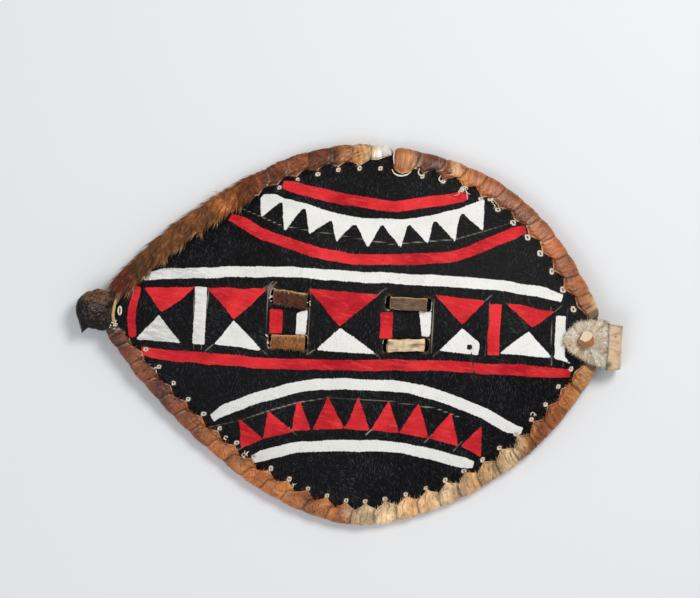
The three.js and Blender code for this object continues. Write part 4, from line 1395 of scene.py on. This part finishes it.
def make_cap():
    """A lump of skin with short dark fur that is combed to the tip, and darker ragged locks there."""
    rng = np.random.default_rng(5)
    centre = np.array([CAP["x"], CAP["y"], CAP["z"]])
    half = np.array(CAP["half"]) - 2.5
    latitude = np.linspace(0, math.pi, 42)[1:-1]
    longitude = np.linspace(0, 2 * math.pi, 64, endpoint=False)
    la, lo = np.meshgrid(latitude, longitude, indexing="ij")
    lump = 1 + 0.06 * noise(la * 4, np.cos(lo) * 3) + 0.04 * noise(np.sin(lo) * 9, la * 5)
    unit = np.stack([np.cos(la), np.sin(la) * np.cos(lo) * lump, np.sin(la) * np.sin(lo) * lump], -1)
    points, faces = tube(centre + half * unit)
    skin = np.tile(np.array(srgb(30, 22, 18)), (len(points), 1))
    flow = np.stack([points[:, 1], points[:, 0], points[:, 2]], -1)
    fur = tinted_hair("dark_fur", (1.2, 0.1, 1.2), roughness=0.36, spread=0.2, specular=0.6)
    make_piece("tip_cap_looks", points, faces, [fur], ["tip_cap"], {"tint": skin, "flow": flow})
    place, _, _, _ = scatter(points, faces[0], 13500, rng)
    normal = (place - centre) / half**2
    normal /= np.linalg.norm(normal, axis=1, keepdims=True)
    rel = (place - centre) / half
    locks = noise(rel[:, 1] * 6 + rel[:, 2] * 4, rel[:, 0] * 2.5)
    sweep = np.stack(
        [-0.75 - 0.5 * (rel[:, 0] < -0.4), rel[:, 1] * 0.8 - 0.3 + locks * 0.9, rel[:, 2] * 0.2 - 0.2], -1
    )
    direction = turned_along(sweep + rng.normal(0, 0.3, sweep.shape), normal)
    tip = smooth((-rel[:, 0] - 0.35) / 0.5)
    long = rng.uniform(3.5, 8, len(place)) + 2.5 * tip * rng.random(len(place))
    lift = rng.uniform(0.6, 2.0, len(place)) + 1.0 * smooth(locks)
    hair = strands(place, direction, normal, long, rng.uniform(0.4, 0.75, len(place)), lift)
    shine = np.exp(-((rel[:, 1] - 0.25) ** 2) / 0.3 - (rel[:, 0] - 0.1) ** 2 / 0.35)
    lit = rng.random(len(place)) < 0.5 * shine
    fringe = (rel[:, 1] > 0.45) & (rel[:, 0] > -0.75) & (rng.random(len(place)) < 0.6)
    chance = rng.random(len(place))[:, None]
    dark, brown, grey, tan = (
        np.array(c) for c in (srgb(18, 13, 12), srgb(74, 46, 32), srgb(158, 144, 134), srgb(186, 132, 84))
    )
    colour = dark + (brown - dark) * chance**2 * (0.35 + 0.65 * shine[:, None])
    colour = np.where(lit[:, None], grey * (0.45 + 0.6 * chance), colour)
    colour = np.where(fringe[:, None], tan * (0.5 + 0.7 * chance), colour)
    make_hair("tip_cap_fur", hair, fur, per_strand(colour), (0, 2), rng)
    count = 420
    roots = centre + np.array([-13, -13, -1]) + rng.normal(0, 1.0, (count, 3)) * np.array([2.2, 2.2, 2])
    up = np.tile([0.0, 0.0, 1.0], (count, 1))
    aim = centre + np.array([-16.5, -26.5, -3])
    way = turned_along(aim - roots, up)
    long = np.linalg.norm(aim - roots, axis=1) * rng.uniform(0.75, 1, count)
    lock = strands(roots, way, up, long, 0.7, rng.uniform(0, 1, count))
    make_hair("tip_cap_lock", lock, fur, np.tile(dark, (len(lock[0]), 1)), (0, 2), rng)


def make_lashing():
    """A twisted sinew ring over the cap's neck and under the stick, with a small loop and knotted ends."""
    middle = (LASHING["low_z"] + LASHING["high_z"]) / 2
    half = (LASHING["high_z"] - LASHING["low_z"]) / 2
    turn = np.linspace(0, 2 * math.pi, 150, endpoint=False)

    def power(v):
        return np.sign(v) * np.abs(v) ** 0.7

    lean = -1.6 * (1 - power(np.cos(turn))) * (np.sin(turn) > 0)
    centre_y = float(stick_y(LASHING["x"]))
    centre = np.stack(
        [
            LASHING["x"] + 0.5 * np.sin(3 * turn) + lean * np.sin(turn).clip(0),
            centre_y + LASHING["half_width"] * power(np.cos(turn)),
            middle + half * power(np.sin(turn)),
        ],
        -1,
    )

    def cord(path, radius, closed):
        ahead = np.roll(path, -1, axis=0) - np.roll(path, 1, axis=0) if closed else np.gradient(path, axis=0)
        ahead /= np.linalg.norm(ahead, axis=1, keepdims=True)
        out = np.cross(ahead, [1.0, 0.1, 0.05])
        out /= np.linalg.norm(out, axis=1, keepdims=True)
        side = np.cross(out, ahead)
        run = np.concatenate([[0], np.cumsum(np.linalg.norm(np.diff(path, axis=0), axis=1))])
        angle = np.linspace(0, 2 * math.pi, 16, endpoint=False)
        twist = angle[None] * 2 + run[:, None] * 0.9
        wide = radius * (0.9 + 0.18 * np.abs(np.cos(twist / 2)))
        ring = (
            path[:, None] + out[:, None] * (wide * np.cos(angle))[..., None]
            + side[:, None] * (wide * np.sin(angle))[..., None]
        )
        flow = np.stack(
            [
                (run[:, None] * 0.2 + angle[None]).ravel(),
                np.repeat(run, 16) / 40,
                np.zeros(ring.shape[0] * 16),
            ],
            -1,
        )
        return ring, flow

    sinew = sinew_cord()
    ring, flow = cord(centre, LASHING["radius"], True)
    points, faces = tube(ring, closed=True)
    make_piece("cap_lashing_looks", points, faces, [sinew], ["cap_lashing"], {"flow": flow})
    t = np.linspace(0, 2 * math.pi, 40, endpoint=False)
    loop_x, loop_y = LOOP[0] + 1.7 * np.cos(t), LOOP[1] + 4.4 * np.sin(t)
    loop = np.stack([loop_x, loop_y, panel_height(loop_x, loop_y) + HIDE / 2 + 1.6 + 0.8 * np.cos(t)], -1)
    ring, flow = cord(loop, 0.9, True)
    points, faces = tube(ring, closed=True)
    pale = cut_hide("pale_knot", (0.62, 0.48, 0.3), (0.93, 0.86, 0.72))
    make_piece("cap_lashing_loop", points, faces, [pale], (), {"flow": flow})
    rng = np.random.default_rng(8)
    points, quads, triangles, start = [], [], [], 0
    for _ in range(34):
        x, y = KNOT[0] + rng.normal(0, 1.5), KNOT[1] + rng.normal(0, 3.4)
        heading, bend = rng.random() * 2 * math.pi, rng.normal(0, 1.3)
        line = []
        for _ in range(4):
            line.append(on_face(x, y, 1.8 + 2.2 * rng.random()))
            x, y = x + 1.7 * math.cos(heading), y + 1.7 * math.sin(heading)
            heading += bend
        p, groups = tube(ribbon(line, rng.uniform(0.8, 1.4), 0.7))
        points.append(p)
        quads.append(groups[0] + start)
        triangles.append(groups[1] + start)
        start += len(p)
    faces = [np.vstack(quads), np.vstack(triangles)]
    make_piece("cap_lashing_knot", np.vstack(points), faces, [pale])


# ---- The patch and the peg ----

# The patch's two long sides.
PATCH_UPPER = [(233, 2), (238, 9), (244, 16), (252, 20), (276, 22), (282, 20), (290, 18), (300, 16)]
PATCH_LOWER = [(233, -3), (237, -9), (244, -15), (258, -23), (272, -28), (282, -31), (290, -31), (300, -28)]


def patch_place(u, v):
    """The middle of the patch: a tongue on the face that folds over the tip and comes back below."""
    face = PATCH["fold_x"] - PATCH["from_x"]
    back = PATCH["fold_x"] - PATCH["back_x"]
    edge_x = PATCH["fold_x"] - 3
    fold_top = float(panel_height(edge_x, 0)) + HIDE / 2 + 0.3 + PATCH["thickness"] / 2
    fold_radius = (fold_top - PATCH["low_z"]) / 2
    total = face + fold_radius * math.pi * 0.8 + back
    run = u * total
    on_top = run <= face
    turned = np.clip((run - face) / (total - face - back), 0, 1) * math.pi
    folded_x = PATCH["fold_x"] + fold_radius * 0.95 * np.sin(turned) - np.maximum(run - (total - back), 0)
    x = np.where(on_top, PATCH["from_x"] + run, folded_x)
    narrow = 1 - 0.25 * smooth((run - total + back) / back)
    upper, lower = curve_y(PATCH_UPPER, x) * narrow, curve_y(PATCH_LOWER, x) * narrow
    y = lower + (upper - lower) * v
    rest = panel_height(np.minimum(x, edge_x), y * 0.9) + HIDE / 2 + 0.3 + PATCH["thickness"] / 2 + 0.4
    top = panel_height(edge_x, y * 0.9) + HIDE / 2 + 0.3 + PATCH["thickness"] / 2 + 0.4
    z = np.where(on_top, rest, PATCH["low_z"] + (top - PATCH["low_z"]) * (0.5 + 0.5 * np.cos(turned)))
    return np.stack(np.broadcast_arrays(x, y, z), -1), run


def make_patch():
    """A folded piece of pale hide with its hair on, pinned by the peg."""
    rng = np.random.default_rng(21)
    rows, columns = 150, 64
    u, v = np.meshgrid(np.linspace(0, 1, rows), np.linspace(0, 1, columns), indexing="ij")
    middle, run = patch_place(u, v)
    ragged = 0.9 * noise(run / 5, np.where(v < 0.5, 3.0, 9.0)) * smooth((np.abs(2 * v - 1) - 0.6) / 0.4)
    middle[..., 1] += ragged * np.sign(v - 0.5)
    normal = np.cross(np.gradient(middle, axis=0), np.gradient(middle, axis=1))
    normal /= np.linalg.norm(normal, axis=-1, keepdims=True) + 1e-9
    x, y = middle[..., 0], middle[..., 1]
    far = np.hypot(x - PEG["x"], y + 1)
    around = np.arctan2(y + 1, x - PEG["x"])
    face = PATCH["fold_x"] - PATCH["from_x"]
    flap = smooth((face - 4.5 - run) / 1.6)
    lumps = 0.4 * noise(run / 6, v * 7) + 0.25 * noise(around * 5, far / 6) + 1.3 * flap
    lumps = lumps - 0.8 * np.exp(-((far / 11) ** 2))
    half = PATCH["thickness"] / 2 - 0.2
    top = middle + normal * (half + lumps)[..., None]
    low = middle - normal * half
    top[..., 2] = np.maximum(top[..., 2], 0.3)
    low[..., 2] = np.maximum(low[..., 2], 0.3)
    points = np.vstack([top.reshape(-1, 3), low.reshape(-1, 3)])
    n = rows * columns
    grid = grid_faces(rows, columns)
    i, j = np.arange(rows - 1), np.arange(columns - 1)
    sides = [
        np.stack([i * columns, i * columns + n, (i + 1) * columns + n, (i + 1) * columns], -1),
        np.stack([(i + 1) * columns, (i + 1) * columns + n, i * columns + n, i * columns], -1) + columns - 1,
        np.stack([j + 1, j + 1 + n, j + n, j], -1),
        np.stack([j, j + n, j + 1 + n, j + 1], -1) + (rows - 1) * columns,
    ]
    quads = outward(points, np.vstack([grid, grid[:, ::-1] + n, *sides]))
    pale, grey, tan = (np.array(c) for c in (srgb(242, 230, 210), srgb(212, 194, 168), srgb(214, 184, 148)))
    share = smooth(0.6 + 0.8 * noise(around * 5, far / 22))[..., None]
    tint = grey * (1 - share) + pale * share
    beyond = smooth((run - face + 3) / 3)[..., None]
    tint = tint * (1 - beyond) + tan * beyond
    shadow = np.exp(-(((run - face + 3.2) / 1.2) ** 2))[..., None]
    stain = np.exp(-((x - 285) ** 2 / 10 + (y + 26) ** 2 / 18))[..., None]
    spot = np.exp(-((x - 290) ** 2 + (y - 5) ** 2) / 1.6)[..., None]
    tint = tint * (1 - 0.75 * shadow) * (1 - 0.8 * stain) * (1 - 0.8 * spot)
    rim = smooth((np.abs(2 * v - 1) - 0.86) / 0.14)[..., None]
    tint = tint * (1 - 0.45 * rim)
    tint = np.vstack([tint.reshape(-1, 3), np.tile(np.array(srgb(188, 156, 118)), (n, 1))])
    flow = np.stack([around * 22, far, middle[..., 2]], -1).reshape(-1, 3)
    flow = np.vstack([flow, flow])
    hide = tinted_hair("pale_hide", (0.8, 0.12, 0.3), roughness=0.6, spread=0.25)
    make_piece(
        "tip_patch_looks",
        points,
        [quads],
        [hide],
        ["tip_patch"],
        {"tint": tint, "flow": flow},
        sharp=60,
    )
    face_quads = quads[: len(grid)]
    place, across, pick, _ = scatter(points, face_quads, 7000, rng)
    across = across * np.sign(np.median(across[:, 2]))
    keep = (place[:, 0] < 282) & (across[:, 2] > 0.2)
    place, across, pick = place[keep], across[keep], pick[keep]
    away = place - np.array([PEG["x"], -1, 0])
    away[:, 2] = 0
    away /= np.linalg.norm(away, axis=1, keepdims=True) + 1e-9
    ways = turned_along(away + np.array([0, -0.25, 0]) + rng.normal(0, 0.22, away.shape), across)
    shade = np.clip(rng.normal(1.2, 0.22, len(place)), 0.6, 1.6)[:, None]
    brown = np.where(rng.random((len(place), 1)) < 0.1, np.array(srgb(170, 140, 112)), 1.0)
    colour = per_strand(np.clip(tint[face_quads[pick][:, 0]] * shade * brown, 0, 0.95))
    long, width, lift = (
        rng.uniform(low, high, len(place)) for low, high in ((2.5, 5), (0.3, 0.5), (0.1, 0.5))
    )
    hair = strands(place, ways, across, long, width, lift)
    make_hair("tip_patch_hair", hair, hide, colour, (0, 1), rng)


# Direction of each knife cut, its distance from the middle of the head, and how fresh it looks.
PEG_CUTS = [
    ((1, 0.2, 0.1), 7.6, 0.0),
    ((0.3, -1, 0.1), 7.8, 0.0),
    ((-0.8, -0.7, 0.1), 8.0, 0.0),
    ((-0.9, 0.5, 0.15), 7.4, 0.1),
    ((0.2, -0.9, 0.8), 6.6, 0.05),
    ((-0.7, -0.5, 0.75), 6.9, 0.1),
    ((0.8, -0.3, 0.8), 7.2, 0.0),
    ((-0.3, 0.55, 0.85), 5.3, 0.85),
]


def make_peg():
    """A whittled peg: a shank through the stick and a head with knife facets, one of them freshly pale."""
    neck = float(panel_height(PEG["x"], 0)) + HIDE / 2 + PATCH["thickness"] + 1.5
    centre_y = float(stick_y(PEG["x"]))
    high = PEG["height"]
    profile = np.array(
        [
            (PEG["shank"] - 0.4, PEG["bottom_z"]),
            (PEG["shank"], PEG["bottom_z"] + 0.6),
            (PEG["shank"], neck - 0.5),
            (PEG["head"] * 0.9, neck + 1.2),
            (PEG["head"], neck + 3.0),
            (PEG["head"], neck + high * 0.75),
            (PEG["head"] * 0.8, neck + high),
            (0.3, neck + high),
        ]
    )
    t = np.linspace(0, len(profile) - 1, 130)
    k = np.minimum(t.astype(int), len(profile) - 2)
    rz = profile[k] + (profile[k + 1] - profile[k]) * (t - k)[:, None]
    angle = np.linspace(0, 2 * math.pi, 90, endpoint=False)
    x = PEG["x"] + rz[:, :1] * np.cos(angle)
    y = centre_y + rz[:, :1] * np.sin(angle)
    z = np.broadcast_to(rz[:, 1:], x.shape).copy()
    shades = np.zeros_like(x)
    for (dx, dy, dz), depth, shade in PEG_CUTS:
        way = np.array([dx, dy, dz]) / math.hypot(dx, dy, dz)
        over = (x - PEG["x"]) * way[0] + (y - centre_y) * way[1] + (z - neck - high * 0.5) * way[2] - depth
        beyond = (over > 0) & (z > neck + 0.8)
        lower_z = z - over / way[2] if way[2] > 0.3 else z
        inward = over / max(math.hypot(way[0], way[1]), 0.2)
        if way[2] > 0.3:
            z = np.where(beyond, np.maximum(lower_z, neck + 0.8), z)
        else:
            x = np.where(beyond, x - way[0] * inward, x)
            y = np.where(beyond, y - way[1] * inward, y)
        shades = np.where(beyond, shade, shades)
    points, faces = tube(np.stack([x, y, z], -1))
    cut = np.concatenate([shades.ravel(), [0, float(shades[-1].mean())]])
    wood = whittled_wood("peg_wood", srgb(132, 74, 28), srgb(196, 128, 60), along=(0.5, 0.5, 0.06))
    make_piece(
        "tip_peg_looks",
        points,
        faces,
        [wood],
        ["tip_peg"],
        {"flow": points.copy(), "cut": cut},
        sharp=28,
    )


# Middle, spread, count and length of each tuft.
SCRAPS = [
    (116, 158, 2.6, 9, 8), (146, 148, 2.6, 9, 8), (170, 148, 1.6, 4, 6), (200, 126, 1.5, 3, 5),
    (-105, -150, 2.4, 6, 8), (-130, -128, 1.6, 3, 6), (-80, -166, 1.6, 3, 6), (-55, -180, 1.6, 3, 6),
    (-88, 27, 2.2, 4, 5), (-87, -20, 2.0, 4, 6), (-46, 24, 1.4, 3, 4), (-232, -44, 2.4, 5, 6),
    (-214, -60, 2.2, 4, 6), (-20, -196, 1.4, 3, 5), (205, -84, 1.5, 3, 6), (262, 36, 1.6, 4, 7),
]
# Points, width and height above the face of each curled edge.
CURLS = [
    ([(36, 174), (39, 169.5), (45, 167.5), (52, 169), (57, 173)], 2.0, 2.2),
    ([(66, 177), (65, 172), (68, 169), (72, 171)], 1.6, 2.0),
    ([(90, 171), (88, 166), (92, 163), (96, 165)], 1.6, 2.0),
    ([(166, 150), (163, 145), (166, 140), (172, 139)], 1.3, 1.6),
    ([(172, 140), (176, 138), (177, 142)], 1.6, 1.8),
    ([(38, 196), (37, 188), (38, 180)], 1.4, 6.0),
]


def make_scraps():
    """Frayed ends and curled cut edges of the lacing, in pale skin."""
    rng = np.random.default_rng(77)
    points, faces, start = [], [], 0

    def add(rings):
        nonlocal start
        p, groups = tube(rings)
        points.append(p)
        faces.append([g + start for g in groups])
        start += len(p)

    for x, y, spread, count, long in SCRAPS:
        for _ in range(count):
            cx, cy = x + rng.normal(0, spread), y + rng.normal(0, spread)
            heading, bend = rng.random() * 2 * math.pi, rng.normal(0, 0.9)
            size = long * rng.uniform(0.6, 1.2)
            line = []
            for k in range(4):
                line.append(on_face(cx, cy, 0.7 + 1.3 * math.sin(k * 1.2) ** 2))
                cx += math.cos(heading) * size / 3
                cy += math.sin(heading) * size / 3
                heading += bend
            add(ribbon(line, rng.uniform(0.9, 1.7), 0.6, rng.normal(0, 1)))
    for line, width, lift in CURLS:
        add(ribbon([on_face(x, y, lift) for x, y in line], width, 1.1, 0.4))
    skin = cut_hide("pale_skin", (0.6, 0.46, 0.32), (0.93, 0.88, 0.8))
    quads = np.vstack([f[0] for f in faces])
    triangles = np.vstack([f[1] for f in faces])
    make_piece("pale_scraps", np.vstack(points), [quads, triangles], [skin])


# ---- The shield ----

make_panel()
upper_left = make_binding("binding_upper_left", 31)
upper_right = make_binding("binding_upper_right", 32)
lower = make_binding("binding_lower", 33)
strip_hair(
    "hair_long_locks", upper_left, 8500, 41, -258, LONG_HAIR_END, (9, 19), (-0.32, -0.95), 1.0, 0.6, 0.35
)
strip_hair("hair_upper_left", upper_left, 2600, 44, -115, 12, (3, 7), (-0.8, -0.5), 0.15, 0.4, 0.25)
strip_hair("hair_upper_right", upper_right, 1500, 42, 60, 262, (2, 5), None, 0.1, 0.35)
strip_hair("hair_lower", lower, 6500, 43, -262, 270, (2.5, 6), None, 0.15, 0.4)
make_stick()
make_tie("stick_tie_left", 51)
make_tie("stick_tie_right", 52)
make_cap()
make_lashing()
make_patch()
make_peg()
make_scraps()

# ---- Floor, light and camera ----


def make_floor():
    bpy.ops.mesh.primitive_plane_add(size=7, location=(0, 0, 0))
    floor = bpy.context.active_object
    floor.name = "studio_floor"
    material = bpy.data.materials.new("studio_floor")
    material.use_nodes = True
    shader = material.node_tree.nodes["Principled BSDF"]
    shader.inputs["Base Color"].default_value = (0.78, 0.79, 0.8, 1)
    shader.inputs["Roughness"].default_value = 0.9
    floor.data.materials.append(material)


def make_light(name, place, size, power, colour):
    data = bpy.data.lights.new(name, "AREA")
    data.shape = "DISK"
    data.size = size
    data.energy = power
    data.color = colour
    light = bpy.data.objects.new(name, data)
    light.location = place
    light.rotation_euler = (-Vector(place)).to_track_quat("-Z", "Y").to_euler()
    bpy.context.scene.collection.objects.link(light)


CAMERA_PLACE = (-1.3, 37.9)
CAMERA_DISTANCE = 4.5
CAMERA_TURN = 3.33
FRAME_WIDTH = 770


def make_camera():
    data = bpy.data.cameras.new("camera")
    data.sensor_width = 36
    data.lens = 36 * CAMERA_DISTANCE * 1000 / FRAME_WIDTH
    camera = bpy.data.objects.new("camera", data)
    camera.location = (CAMERA_PLACE[0] / 1000, CAMERA_PLACE[1] / 1000, CAMERA_DISTANCE)
    camera.rotation_euler = (0, 0, math.radians(CAMERA_TURN))
    bpy.context.scene.collection.objects.link(camera)
    bpy.context.scene.camera = camera


make_floor()
make_light("key", (1.1, 1.3, 2.3), 1.1, 46, (1, 0.99, 0.97))
make_light("fill", (-1.2, -1.6, 2.6), 2.0, 26, (0.96, 0.98, 1))
world = bpy.data.worlds.new("studio")
world.use_nodes = True
world.node_tree.nodes["Background"].inputs["Color"].default_value = (0.93, 0.95, 1, 1)
world.node_tree.nodes["Background"].inputs["Strength"].default_value = 0.45
bpy.context.scene.world = world
bpy.context.scene.view_settings.view_transform = "Standard"
make_camera()
